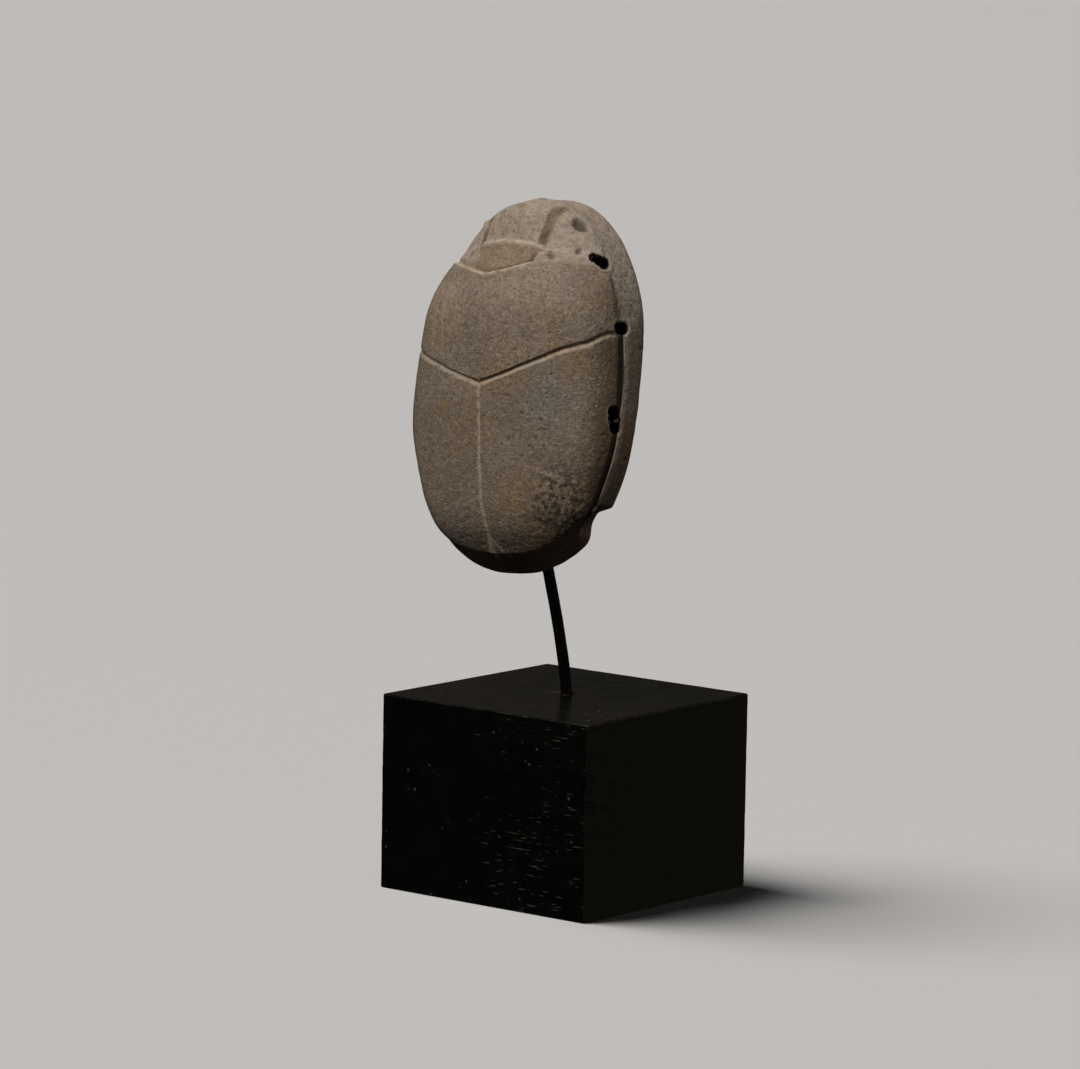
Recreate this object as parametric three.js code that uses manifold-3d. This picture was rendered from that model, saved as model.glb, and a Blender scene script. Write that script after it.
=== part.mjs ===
// Stone scarab amulet on its display mount: a carved beetle, a bent steel rod that carries it by a hole
// drilled in its flat underside, and a square black wooden block that the rod is set in.
//
// Millimetres, +Z up. The origin is the middle of the block's underside. The beetle's back faces -Y and
// its head is up. The beetle is carved in a frame of its own: x across, y from tail to head, z out of the
// back, with z = 0 on its flat underside and the origin in the middle of it.

import * as THREE from 'three';
import * as BufferGeometryUtils from 'three/addons/utils/BufferGeometryUtils.js';
import Module from 'manifold-3d';

const wasm = await Module();
wasm.setup();

// ---------------------------------------------------------------- driving dimensions

const BLOCK_SIDE = 44;
const BLOCK_HEIGHT = 33.2;
const BLOCK_EASED_EDGE = 0.3;

const ROD_RADIUS = 1;
const ROD_CLEARANCE = 0.3;
const ROD_SIDES = 12;
const ROD_DEPTH_IN_BLOCK = 12;
const ROD_RISE = 44; // from the block's top to the rod's upper end, inside the stone
const ROD_REACH = 13.7; // how far forward the upper end is from the foot
const ROD_BEND = 1.29; // the rod's forward reach grows with this power of its height

const STONE_LENGTH = 63.3;
const STONE_WIDTH = 42.1;
const WIDEST_AT = -5.7; // y where the stone is widest
const HEAD_ROUNDNESS = 2.13; // exponents of the superellipse that the outline follows
const TAIL_ROUNDNESS = 2.35;
const BACK_ROUNDNESS = { tail: 3.0, middle: 2.27, head: 1.56 }; // exponents of the back's cross-section
const HEAD_BLEND = [8, 22]; // y over which the cross-section changes to the head's
const TAIL_BLEND = [-8, -22]; // and to the tail's
const BROW_ROUNDNESS = 13; // how blunt the head's front edge is
const LEAN = 16.9; // degrees, backwards
const TURN = 3.8; // degrees, head to the beetle's left
const STONE_CENTRE = [-0.3, -7.6, 85.7]; // the underside's middle

const HEAD_TIP = 31.7; // y of the outline's two ends
const TAIL_TIP = HEAD_TIP - STONE_LENGTH;
const BACK_INSET = { side: 0.8, head: 0.9, tail: 2.7 }; // from the underside's outline to the back's edge
const GROOVE_DEPTH = 0.7; // the groove under the back's edge, sinking from where it begins to where it is full
const GROOVE_STARTS = [10, 7];
const GROOVE_AT_HEAD = 0.4; // what is left of it round the head, as a share
// the flank's lines, from the groove down to the foot: how far in from the outline, how far the notch
// pulls each one further in, and its height as a share of the back edge's height, less a drop
const FLANK_LINES = [
  { inset: { side: 0.6, head: 0.7, tail: 1.9 }, pull: 0.9, share: 1, drop: 0.1, groove: GROOVE_DEPTH },
  { inset: { side: 0.2, head: 0.4, tail: 1.3 }, pull: 2, share: 1, drop: 0.25, groove: 0 },
  { inset: { side: 0, head: 0, tail: 0 }, pull: 3.1, share: 0.72, drop: 0, groove: 0 },
  { inset: { side: 0, head: 0, tail: 0 }, pull: 3.1, share: 0.35, drop: 0, groove: 0 },
  { inset: { side: 0.3, head: 0.5, tail: 0.5 }, pull: 3.1, share: 0, drop: 0, groove: 0 },
];
const UNDER_INSET = { side: 8, head: 10, tail: 10 }; // a ring of points on the flat underside

// heights along the midline, each at its y: tail edge, lower back, waist, shoulder, crest, neck, head,
// brow, front
const BACK_STATIONS = [[-28.9, 2.6], [-22.4, 10], [-10.9, 13.6], [1.6, 16.4], [11.8, 18.4], [15.4, 18.1],
  [22, 14.9], [27, 14.5], [30.8, 7.9]];
// heights of the back's lower edge, each at its y
const EDGE_STATIONS = [[-28.9, 2.3], [0, 5.3], [20, 7.4], [30.8, 6]];

const SUTURE_MEET = [-1.1, -2.4]; // where the wing cases' three lines meet
const RIGHT_SUTURE = { slope: 0.276, curve: 0.0078 };
const LEFT_SUTURE = { slope: 0.26, curve: 0.006 };
const SUTURE = { halfWidth: 0.6, depth: 0.55 };
const MIDLINE_DRIFT = 0.03; // the midline wanders to one side towards the tail
const MIDLINE_END = -27.6;
// the shoulder plate's front edge
const NECK_LINE = { middle: 15.4, slope: 0.23, end: 14.5, halfWidth: 0.7, depth: 0.45 };
const HEAD_RECESS = { halfWidth: 7, front: 22, sweep: 0.035, depthBack: 1.1, depthFront: 0.3 };
const CHEEK_GROOVE = { from: [6, 21.6], to: [7.3, 28], halfWidth: 0.55, depth: 0.5 };

const NOTCH = { top: -19.6, bottom: -27.5, corner: 1.7 }; // where the right leg plate ends
// drilled holes along the back's lower edge: y, radius, how far each runs on along the edge, and how far
// up the back it is from the edge
const EDGE_HOLES = [{ y: 19.7, radius: 1.1, run: 0.6, rise: 1.0 }, { y: 8.8, radius: 1.05, run: 0, rise: 0 },
  { y: -6.2, radius: 1.1, run: 1.7, rise: 1.0 }];
const HOLE_DEPTH = 2.4;
const HOLE_SLANT = [0.75, 0.66]; // outwards and upwards, from a hole's floor to its mouth
const HOLE_TAPER = 0.8;
const HOLE_SIDES = 14;

const RING_STEPS = 112; // facets round the stone
const BACK_RINGS = 14;
const LINE_STEPS = 14; // pieces in each carved line
const ROD_STEPS = 26;

// ---------------------------------------------------------------- the stone's surface

const clamp = (value, low, high) => Math.min(Math.max(value, low), high);

const smoothStep = (low, high, value) => {
  const t = clamp((value - low) / (high - low), 0, 1);
  return t * t * (3 - 2 * t);
};

// A curve through [position, height] stations that never overshoots them: a cubic Hermite between
// stations, with the harmonic mean of the two neighbouring slopes at each one.
function stationCurve(stations) {
  const gaps = stations.slice(1).map((s, i) => s[0] - stations[i][0]);
  const rises = stations.slice(1).map((s, i) => (s[1] - stations[i][1]) / gaps[i]);
  const slopes = stations.map((_, i) => {
    if (i === 0) return rises[0];
    if (i === rises.length) return rises[i - 1];
    const [before, after] = [rises[i - 1], rises[i]];
    return before * after <= 0 ? 0 : (2 * before * after) / (before + after);
  });
  return (position) => {
    const at = clamp(position, stations[0][0], stations[stations.length - 1][0]);
    let i = 0;
    while (i < gaps.length - 1 && at > stations[i + 1][0]) i += 1;
    const t = (at - stations[i][0]) / gaps[i];
    const fromStart = (1 + 2 * t) * (1 - t) ** 2 * stations[i][1] + t * (1 - t) ** 2 * gaps[i] * slopes[i];
    const fromEnd = t * t * (3 - 2 * t) * stations[i + 1][1] + t * t * (t - 1) * gaps[i] * slopes[i + 1];
    return fromStart + fromEnd;
  };
}

const midlineHeight = stationCurve(BACK_STATIONS);
const edgeHeight = stationCurve(EDGE_STATIONS);

// A point of the egg-shaped outline: two half superellipses that meet where the stone is widest.
function outlinePoint(angle, inset) {
  const [across, along] = [Math.cos(angle), Math.sin(angle)];
  const roundness = along > 0 ? HEAD_ROUNDNESS : TAIL_ROUNDNESS;
  const reach = along > 0 ? HEAD_TIP - WIDEST_AT - inset.head : WIDEST_AT - TAIL_TIP - inset.tail;
  const x = Math.sign(across) * Math.abs(across) ** (2 / roundness) * (STONE_WIDTH / 2 - inset.side);
  const y = WIDEST_AT + Math.sign(along) * Math.abs(along) ** (2 / roundness) * reach;
  return [x, y];
}

// Half the width of the same outline at a given y.
function halfWidthAt(y, inset) {
  const toHead = y > WIDEST_AT;
  const roundness = toHead ? HEAD_ROUNDNESS : TAIL_ROUNDNESS;
  const reach = toHead ? HEAD_TIP - WIDEST_AT - inset.head : WIDEST_AT - TAIL_TIP - inset.tail;
  const part = clamp(Math.abs(y - WIDEST_AT) / reach, 0, 1);
  return (STONE_WIDTH / 2 - inset.side) * (1 - part ** roundness) ** (1 / roundness);
}

// The domed back: a superellipse arch from the back's edge up to the midline, at every y, rounded off at
// the brow.
function backHeight(x, y) {
  const edge = Math.min(edgeHeight(y), 0.95 * midlineHeight(y));
  const part = clamp(Math.abs(x) / Math.max(halfWidthAt(y, BACK_INSET), 1e-6), 0, 1);
  const roundness = BACK_ROUNDNESS.middle
    + (BACK_ROUNDNESS.head - BACK_ROUNDNESS.middle) * smoothStep(...HEAD_BLEND, y)
    + (BACK_ROUNDNESS.tail - BACK_ROUNDNESS.middle) * smoothStep(...TAIL_BLEND, y);
  const arch = (1 - part ** roundness) ** (1 / roundness);
  const forward = clamp((y - WIDEST_AT) / (HEAD_TIP - BACK_INSET.head - WIDEST_AT), 0, 1);
  const brow = (1 - forward ** BROW_ROUNDNESS) ** (1 / BROW_ROUNDNESS);
  return edge + (midlineHeight(y) - edge) * arch * brow;
}

function backNormal(x, y) {
  const step = 0.05;
  const slopeX = (backHeight(x + step, y) - backHeight(x - step, y)) / (2 * step);
  const slopeY = (backHeight(x, y + step) - backHeight(x, y - step)) / (2 * step);
  return new THREE.Vector3(-slopeX, -slopeY, 1).normalize();
}

// How much of the notch there is at a given y: sharp at the leg plate's end, easing out towards the tail.
function notchShare(y) {
  const plateEnd = 1 - smoothStep(NOTCH.top, NOTCH.top + NOTCH.corner, y);
  return plateEnd * smoothStep(NOTCH.bottom, NOTCH.top - 1, y);
}

// How deep the groove is at a given y: shallow round the head, full along the sides, none past the leg
// plate.
function grooveShare(y) {
  const alongSide = GROOVE_AT_HEAD + (1 - GROOVE_AT_HEAD) * smoothStep(...GROOVE_STARTS, y);
  return alongSide * smoothStep(NOTCH.bottom, NOTCH.top, y);
}

// ---------------------------------------------------------------- closed bodies from rings and grids

function bodyFromTriangles(vertices, triangles) {
  const geometry = new THREE.BufferGeometry();
  geometry.setAttribute('position', new THREE.Float32BufferAttribute(vertices.flat(), 3));
  geometry.setIndex(triangles.flat());
  return geometry;
}

// A closed body from rings of equal length, lowest index outermost-facing anticlockwise, and a point at
// each end.
function bodyFromRings(startPoint, rings, endPoint) {
  const count = rings[0].length;
  const vertices = [startPoint, ...rings.flat(), endPoint];
  const triangles = [];
  const at = (ring, step) => 1 + ring * count + (step % count);
  for (let step = 0; step < count; step += 1) {
    triangles.push([0, at(0, step), at(0, step + 1)]);
    for (let ring = 0; ring < rings.length - 1; ring += 1) {
      triangles.push([at(ring, step), at(ring + 1, step), at(ring + 1, step + 1)]);
      triangles.push([at(ring, step), at(ring + 1, step + 1), at(ring, step + 1)]);
    }
    triangles.push([at(rings.length - 1, step), vertices.length - 1, at(rings.length - 1, step + 1)]);
  }
  return bodyFromTriangles(vertices, triangles);
}

// manifold-3d solid from a three.js geometry, and back.
function toSolid(geometry) {
  const plain = geometry.clone();
  plain.deleteAttribute('normal');
  plain.deleteAttribute('uv');
  const merged = BufferGeometryUtils.mergeVertices(plain, 1e-4);
  return new wasm.Manifold(new wasm.Mesh({
    numProp: 3,
    vertProperties: new Float32Array(merged.attributes.position.array),
    triVerts: new Uint32Array(merged.index.array),
  }));
}

function fromSolid(solid) {
  const mesh = solid.getMesh();
  const geometry = new THREE.BufferGeometry();
  geometry.setAttribute('position', new THREE.BufferAttribute(new Float32Array(mesh.vertProperties), 3));
  geometry.setIndex(new THREE.BufferAttribute(new Uint32Array(mesh.triVerts), 1));
  geometry.computeVertexNormals();
  return geometry;
}

// ---------------------------------------------------------------- the uncut stone

// One ring of points round the stone: the outline at an inset, pulled in at the notch on the right, at a
// height.
function stoneRing(inset, notchDepth, height) {
  return Array.from({ length: RING_STEPS }, (_, step) => {
    const angle = ((step + 0.5) / RING_STEPS) * 2 * Math.PI;
    const [x, y] = outlinePoint(angle, inset);
    const pull = x > 0 ? notchDepth * notchShare(y) : 0;
    return [x - pull, y, height(x, y)];
  });
}

// Rings from the top of the back out to its edge, over the groove and the leg plate, down the flank and in
// under.
function stoneBlank() {
  const edge = stoneRing(BACK_INSET, 0, (x, y) => edgeHeight(y));
  const quarter = Math.PI / 2;
  const shares = Array.from({ length: BACK_RINGS - 1 }, (_, i) => Math.sin(((i + 1) / BACK_RINGS) * quarter));
  const back = shares.map((share) => edge.map(([x, y]) => {
    const [ringX, ringY] = [x * share, y * share];
    return [ringX, ringY, backHeight(ringX, ringY)];
  }));
  const flank = FLANK_LINES.map(({ inset, pull, share, drop, groove }) => stoneRing(inset, pull,
    (x, y) => edgeHeight(y) * share - drop - groove * grooveShare(y)));
  const under = stoneRing(UNDER_INSET, 0, () => 0);
  return bodyFromRings([0, 0, backHeight(0, 0)], [...back, edge, ...flank, under], [0, 0, 0]);
}

// ---------------------------------------------------------------- cutters

// A V-section cutter that follows a line drawn on the back. It starts a little above the surface.
function lineCutter(points, { halfWidth, depth }) {
  const above = 0.5;
  const spread = halfWidth * (1 + above / depth);
  const last = points.length - 1;
  const vertices = points.flatMap(([x, y], i) => {
    const [beforeX, beforeY] = points[Math.max(i - 1, 0)];
    const [afterX, afterY] = points[Math.min(i + 1, last)];
    const across = new THREE.Vector3(afterY - beforeY, beforeX - afterX, 0).normalize();
    const normal = backNormal(x, y);
    const foot = new THREE.Vector3(x, y, backHeight(x, y));
    const top = foot.clone().addScaledVector(normal, above);
    return [
      foot.clone().addScaledVector(normal, -depth).toArray(),
      top.clone().addScaledVector(across, spread).toArray(),
      top.clone().addScaledVector(across, -spread).toArray(),
    ];
  });
  const triangles = [[0, 1, 2], [3 * last, 3 * last + 2, 3 * last + 1]];
  for (let i = 0; i < last; i += 1) {
    for (let corner = 0; corner < 3; corner += 1) {
      const [a, b] = [3 * i + corner, 3 * i + ((corner + 1) % 3)];
      triangles.push([a, a + 3, b + 3], [a, b + 3, b]);
    }
  }
  return bodyFromTriangles(vertices, triangles);
}

// Points of a carved line, evenly spaced from one x to another.
const alongLine = (from, to, yAt) => Array.from({ length: LINE_STEPS + 1 }, (_, i) => {
  const x = from + ((to - from) * i) / LINE_STEPS;
  return [x, yAt(x)];
});

const sutureY = (x, { slope, curve }) => {
  const out = Math.abs(x - SUTURE_MEET[0]);
  return SUTURE_MEET[1] + slope * out + curve * out * out;
};

const neckY = (x) => NECK_LINE.middle + NECK_LINE.slope * Math.abs(x);
const recessFrontY = (x) => HEAD_RECESS.front - HEAD_RECESS.sweep * x * x;

function sutureCutters() {
  const armEnd = STONE_WIDTH / 2 - 1;
  const [meetX, meetY] = SUTURE_MEET;
  const right = alongLine(meetX, armEnd, (x) => sutureY(x, RIGHT_SUTURE));
  const left = alongLine(meetX, -armEnd, (x) => sutureY(x, LEFT_SUTURE));
  const middle = Array.from({ length: LINE_STEPS + 1 }, (_, i) => {
    const y = meetY + (MIDLINE_END - meetY) * (i / LINE_STEPS);
    return [meetX + MIDLINE_DRIFT * (y - meetY), y];
  });
  return [right, left, middle].map((points) => lineCutter(points, SUTURE));
}

function neckCutters() {
  return [1, -1].map((side) => {
    const points = alongLine(side * (HEAD_RECESS.halfWidth - NECK_LINE.halfWidth), side * NECK_LINE.end, neckY);
    return lineCutter(points, NECK_LINE);
  });
}

function cheekCutters() {
  const [fromX, fromY] = CHEEK_GROOVE.from;
  const [toX, toY] = CHEEK_GROOVE.to;
  return [1, -1].map((side) => {
    const slant = (x) => fromY + ((side * x - fromX) * (toY - fromY)) / (toX - fromX);
    return lineCutter(alongLine(side * fromX, side * toX, slant), CHEEK_GROOVE);
  });
}

// The hollow between the shoulder plate and the head: a slab whose floor follows the back at a sloping
// depth.
function recessCutter() {
  const [columns, rows, above] = [14, 5, 6];
  const floor = [];
  const lid = [];
  for (let row = 0; row <= rows; row += 1) {
    for (let column = 0; column <= columns; column += 1) {
      const x = HEAD_RECESS.halfWidth * (2 * (column / columns) - 1);
      const y = neckY(x) + (recessFrontY(x) - neckY(x)) * (row / rows);
      const depth = HEAD_RECESS.depthBack + (HEAD_RECESS.depthFront - HEAD_RECESS.depthBack) * (row / rows);
      floor.push([x, y, backHeight(x, y) - depth]);
      lid.push([x, y, backHeight(x, y) + above]);
    }
  }
  const width = columns + 1;
  const lidStart = floor.length;
  const triangles = [];
  for (let row = 0; row < rows; row += 1) {
    for (let column = 0; column < columns; column += 1) {
      const a = row * width + column;
      triangles.push([a, a + width, a + width + 1], [a, a + width + 1, a + 1]);
      const b = a + lidStart;
      triangles.push([b, b + width + 1, b + width], [b, b + 1, b + width + 1]);
    }
  }
  const rim = [
    ...Array.from({ length: columns }, (_, i) => i),
    ...Array.from({ length: rows }, (_, i) => i * width + columns),
    ...Array.from({ length: columns }, (_, i) => rows * width + columns - i),
    ...Array.from({ length: rows }, (_, i) => (rows - i) * width),
  ];
  rim.forEach((a, i) => {
    const b = rim[(i + 1) % rim.length];
    triangles.push([a, b, b + lidStart], [a, b + lidStart, a + lidStart]);
  });
  return bodyFromTriangles([...floor, ...lid], triangles);
}

// Drilled holes slant in and down from the groove. A long one is a row of two drillings.
function edgeHoleCutters() {
  const [outwards, upwards] = HOLE_SLANT;
  return EDGE_HOLES.flatMap(({ y, radius, run, rise }) => [1, -1].flatMap((side) => {
    const drillings = run > 0 ? [y - run / 2, y + run / 2] : [y];
    return drillings.map((at) => {
      const drill = new THREE.CylinderGeometry(radius, radius * HOLE_TAPER, 2 * HOLE_DEPTH, HOLE_SIDES);
      const direction = new THREE.Vector3(side * outwards, 0, upwards).normalize();
      drill.applyQuaternion(new THREE.Quaternion().setFromUnitVectors(new THREE.Vector3(0, 1, 0), direction));
      const inwards = 0.35 * rise; // the back leans in this much for each millimetre up from its edge
      drill.translate(side * (halfWidthAt(at, BACK_INSET) - inwards), at, edgeHeight(at) + rise);
      return drill;
    });
  }));
}

// ---------------------------------------------------------------- the rod's curve

// Straight in the block, then bending forward by a power of the height above the block.
class RodCurve extends THREE.Curve {
  constructor(start, end) {
    super();
    this.start = start;
    this.end = end;
  }

  getPoint(t, target = new THREE.Vector3()) {
    const rise = this.start + (this.end - this.start) * t;
    const forward = ROD_REACH * (Math.max(rise, 0) / ROD_RISE) ** ROD_BEND;
    return target.set(0, -forward, BLOCK_HEIGHT + rise);
  }
}

// A closed round bar along the rod's curve.
function roundBar(start, end, radius, steps) {
  const circle = new THREE.Shape();
  circle.absarc(0, 0, radius, 0, 2 * Math.PI, false);
  return new THREE.ExtrudeGeometry(circle, {
    curveSegments: ROD_SIDES / 2,
    steps,
    bevelEnabled: false,
    extrudePath: new RodCurve(start, end),
  });
}

// ---------------------------------------------------------------- placing and joining

const stonePlace = new THREE.Group();
stonePlace.position.set(...STONE_CENTRE);
stonePlace.rotation.set(THREE.MathUtils.degToRad(90 - LEAN), 0, THREE.MathUtils.degToRad(TURN));
stonePlace.updateMatrixWorld(true);

function scarabGeometry() {
  const outsideStone = ROD_RISE - 14;
  const socket = roundBar(outsideStone, ROD_RISE + ROD_CLEARANCE, ROD_RADIUS + ROD_CLEARANCE, ROD_STEPS);
  socket.applyMatrix4(stonePlace.matrixWorld.clone().invert());
  const cutters = [...sutureCutters(), ...neckCutters(), ...cheekCutters(), recessCutter(), ...edgeHoleCutters(),
    socket];
  return fromSolid(cutters.reduce((stone, cutter) => stone.subtract(toSolid(cutter)), toSolid(stoneBlank())));
}

function blockGeometry() {
  const half = BLOCK_SIDE / 2 - BLOCK_EASED_EDGE;
  const square = new THREE.Shape([[-half, -half], [half, -half], [half, half], [-half, half]]
    .map(([x, y]) => new THREE.Vector2(x, y)));
  const eased = new THREE.ExtrudeGeometry(square, {
    depth: BLOCK_HEIGHT - 2 * BLOCK_EASED_EDGE,
    bevelThickness: BLOCK_EASED_EDGE,
    bevelSize: BLOCK_EASED_EDGE,
    bevelSegments: 1,
  });
  eased.translate(0, 0, BLOCK_EASED_EDGE);
  const drill = new THREE.CylinderGeometry(ROD_RADIUS + ROD_CLEARANCE, ROD_RADIUS + ROD_CLEARANCE,
    2 * (ROD_DEPTH_IN_BLOCK + ROD_CLEARANCE), ROD_SIDES);
  drill.rotateX(Math.PI / 2);
  drill.translate(0, 0, BLOCK_HEIGHT);
  return fromSolid(toSolid(eased).subtract(toSolid(drill)));
}

function namedMesh(name, geometry, look) {
  const mesh = new THREE.Mesh(geometry, new THREE.MeshStandardMaterial(look));
  mesh.name = name;
  return mesh;
}

stonePlace.add(namedMesh('scarab', scarabGeometry(), { color: 0x857a6c, roughness: 0.82, metalness: 0 }));

const group = new THREE.Group();
group.add(
  stonePlace,
  namedMesh('rod', roundBar(-ROD_DEPTH_IN_BLOCK, ROD_RISE, ROD_RADIUS, ROD_STEPS),
    { color: 0x14110f, roughness: 0.45, metalness: 0.3 }),
  namedMesh('block', blockGeometry(), { color: 0x0d0b0a, roughness: 0.35, metalness: 0 }),
);

export default group;
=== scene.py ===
# %% [markdown]
# # A stone scarab on its display mount
# The object is three pieces: a beetle carved from one mottled grey-brown stone, a bent steel rod painted
# black that carries it by a hole in its flat underside, and a square block of blackened wood. The packed
# model is the fixed frame. The pieces here are finer surfaces that stand for its three solids.

# %% Load the fixed frame
import math

import bpy
import numpy as np
from mathutils import Matrix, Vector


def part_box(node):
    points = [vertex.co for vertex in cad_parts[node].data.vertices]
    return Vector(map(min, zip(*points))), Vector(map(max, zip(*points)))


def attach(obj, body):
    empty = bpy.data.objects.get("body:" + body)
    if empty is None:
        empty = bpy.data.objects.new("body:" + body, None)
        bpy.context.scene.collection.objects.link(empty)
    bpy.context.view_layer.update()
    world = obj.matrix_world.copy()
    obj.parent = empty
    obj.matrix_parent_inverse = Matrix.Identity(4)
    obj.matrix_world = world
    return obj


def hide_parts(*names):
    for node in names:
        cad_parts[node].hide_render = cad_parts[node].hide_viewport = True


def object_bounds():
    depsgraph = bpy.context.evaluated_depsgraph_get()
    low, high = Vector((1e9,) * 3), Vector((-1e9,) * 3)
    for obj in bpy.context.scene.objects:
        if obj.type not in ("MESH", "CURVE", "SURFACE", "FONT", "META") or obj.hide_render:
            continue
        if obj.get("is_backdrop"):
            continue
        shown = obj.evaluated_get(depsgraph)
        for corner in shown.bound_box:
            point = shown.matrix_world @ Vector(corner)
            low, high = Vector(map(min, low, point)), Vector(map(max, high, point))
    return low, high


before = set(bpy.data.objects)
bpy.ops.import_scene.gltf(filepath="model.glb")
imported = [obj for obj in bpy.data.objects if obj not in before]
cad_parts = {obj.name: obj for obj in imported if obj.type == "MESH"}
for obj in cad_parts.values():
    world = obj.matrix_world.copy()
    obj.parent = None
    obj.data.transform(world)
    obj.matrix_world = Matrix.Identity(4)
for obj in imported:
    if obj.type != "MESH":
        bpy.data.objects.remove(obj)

MM = 0.001  # lengths below are in millimetres until a mesh is made
cad_box = [list(corner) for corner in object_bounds()]
block_low, block_high = (np.array(corner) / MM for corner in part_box("block"))
rod_low, rod_high = (np.array(corner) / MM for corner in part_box("rod"))
print("CAD box, mm:", np.round(np.array(cad_box) / MM, 2).tolist())

# %% [markdown]
# ## The camera
# A long lens looks slightly down at the block's corner, so that the beetle's back and its right flank
# show. The camera's three axes are worked out from its azimuth, its elevation and a small roll.

# %% Camera
AZIMUTH, ELEVATION, ROLL = (math.radians(degrees) for degrees in (38.909, 8.095, 1.009))
CAMERA_DISTANCE = 1017.6
CAMERA_ASIDE, CAMERA_UP = -3.86, 59.67  # where its axis passes the origin
LENS, SENSOR = 200, 36

towards_camera = np.array([math.sin(AZIMUTH) * math.cos(ELEVATION),
                           -math.cos(AZIMUTH) * math.cos(ELEVATION), math.sin(ELEVATION)])
level_right = np.array([math.cos(AZIMUTH), math.sin(AZIMUTH), 0.0])
level_up = np.cross(towards_camera, level_right)
camera_right = math.cos(ROLL) * level_right + math.sin(ROLL) * level_up
camera_up = math.cos(ROLL) * level_up - math.sin(ROLL) * level_right
camera_place = CAMERA_ASIDE * camera_right + CAMERA_UP * camera_up + CAMERA_DISTANCE * towards_camera

camera_data = bpy.data.cameras.new("camera")
camera_data.lens = LENS
camera_data.sensor_width = SENSOR
camera_data.clip_start, camera_data.clip_end = 0.05, 20  # metres
camera = bpy.data.objects.new("camera", camera_data)
bpy.context.scene.collection.objects.link(camera)
camera_axes = np.stack([camera_right, camera_up, towards_camera], axis=1)
camera.matrix_world = Matrix.LocRotScale(camera_place * MM, Matrix(camera_axes.tolist()), None)
bpy.context.scene.camera = camera
print("camera at", np.round(camera_place, 1).tolist())

# %% [markdown]
# ## Small helpers
# Every shape is worked out as whole numpy arrays. Four helpers come back all the time: a smooth step, a
# bump made of it, a curve through stations, and a random field that is the same on each run.

# %% Smooth step, bump, station curve and lattice noise
def smooth_step(low, high, value):
    """0 below low, 1 above high, and 3t^2 - 2t^3 in between. With low above high it falls."""
    t = np.clip((value - low) / (high - low), 0, 1)
    return t * t * (3 - 2 * t)


def bump(distance, half_width):
    """1 at no distance, falling smoothly to 0 at half_width."""
    return smooth_step(1, 0, np.abs(distance) / half_width)


def station_curve(stations):
    """Cubic Hermite through (position, height) stations, each with the harmonic mean of its two slopes."""
    places, heights = np.array(stations, float).T
    gaps = np.diff(places)
    rises = np.diff(heights) / gaps
    before, after = rises[:-1], rises[1:]
    turning = before * after <= 0
    inner = np.where(turning, 0, 2 * before * after / np.where(turning, 1, before + after))
    slopes = np.concatenate([rises[:1], inner, rises[-1:]])

    def height_at(position):
        at = np.clip(position, places[0], places[-1])
        i = np.clip(np.searchsorted(places, at) - 1, 0, len(gaps) - 1)
        t = (at - places[i]) / gaps[i]
        start = (1 + 2 * t) * (1 - t) ** 2 * heights[i] + t * (1 - t) ** 2 * gaps[i] * slopes[i]
        return start + t * t * (3 - 2 * t) * heights[i + 1] + t * t * (t - 1) * gaps[i] * slopes[i + 1]

    return height_at


NOISE_TABLE = 4096   # random numbers to draw from, a power of two
NOISE_SHIFT = 512.0  # moves every point into the lattice's positive corner


def lattice_noise(points, cell, seed):
    """Value noise, -1 to 1: a random number at each corner of a cubic lattice, blended in between."""
    table = np.random.default_rng(seed).uniform(-1, 1, NOISE_TABLE)
    place = points / cell + NOISE_SHIFT
    corner = np.floor(place).astype(np.int64)
    part = smooth_step(0, 1, place - corner)
    total = np.zeros(points.shape[:-1])
    for step in np.ndindex(2, 2, 2):
        x, y, z = np.moveaxis(corner + step, -1, 0)
        key = (x * 73856093) ^ (y * 19349663) ^ (z * 83492791)
        weight = np.prod(np.where(np.array(step, bool), part, 1 - part), axis=-1)
        total += weight * table[(key ^ (key >> 7)) & (NOISE_TABLE - 1)]
    return total


# %% Faces of a surface of rings, and a mesh object from arrays
def ring_faces(rows, columns, start_pole, end_pole):
    """Quads between neighbouring rings, which close on themselves, and a fan of triangles at each pole."""
    at = np.arange(rows * columns).reshape(rows, columns)
    beside = np.roll(at, -1, axis=1)
    quads = np.stack([at[:-1], at[1:], beside[1:], beside[:-1]], axis=-1).reshape(-1, 4)
    first = np.stack([np.full(columns, start_pole), at[0], beside[0]], axis=-1)
    last = np.stack([at[-1], np.full(columns, end_pole), beside[-1]], axis=-1)
    return quads.tolist() + first.tolist() + last.tolist()


def mesh_object(name, points, faces, masks=None):
    """A smooth-shaded mesh object from points in millimetres, with one float attribute for each mask."""
    mesh = bpy.data.meshes.new(name)
    mesh.from_pydata((points * MM).tolist(), [], faces)
    mesh.polygons.foreach_set("use_smooth", np.ones(len(mesh.polygons), bool))
    for mask_name, values in (masks or {}).items():
        layer = mesh.attributes.new(mask_name, "FLOAT", "POINT")
        layer.data.foreach_set("value", values.astype(np.float32).ravel())
    mesh.update()
    piece = bpy.data.objects.new(name, mesh)
    bpy.context.scene.collection.objects.link(piece)
    triangles = sum(len(face) - 2 for face in faces)
    print(f"{name}: {len(points)} points, {triangles} triangles")
    return piece


# %% [markdown]
# ## The beetle's main form
# The carver began with an egg-shaped form: a flat underside, an upright flank, and a domed back that is
# highest at the shoulders and steps down to the head. It could be sculpted by hand, but two formulas say
# it all: the outline is two half superellipses, and at every place along the beetle the back is an arch
# between the outline's sides. Here x goes across the beetle, y from its tail to its head, and z out of
# its back.

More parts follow.
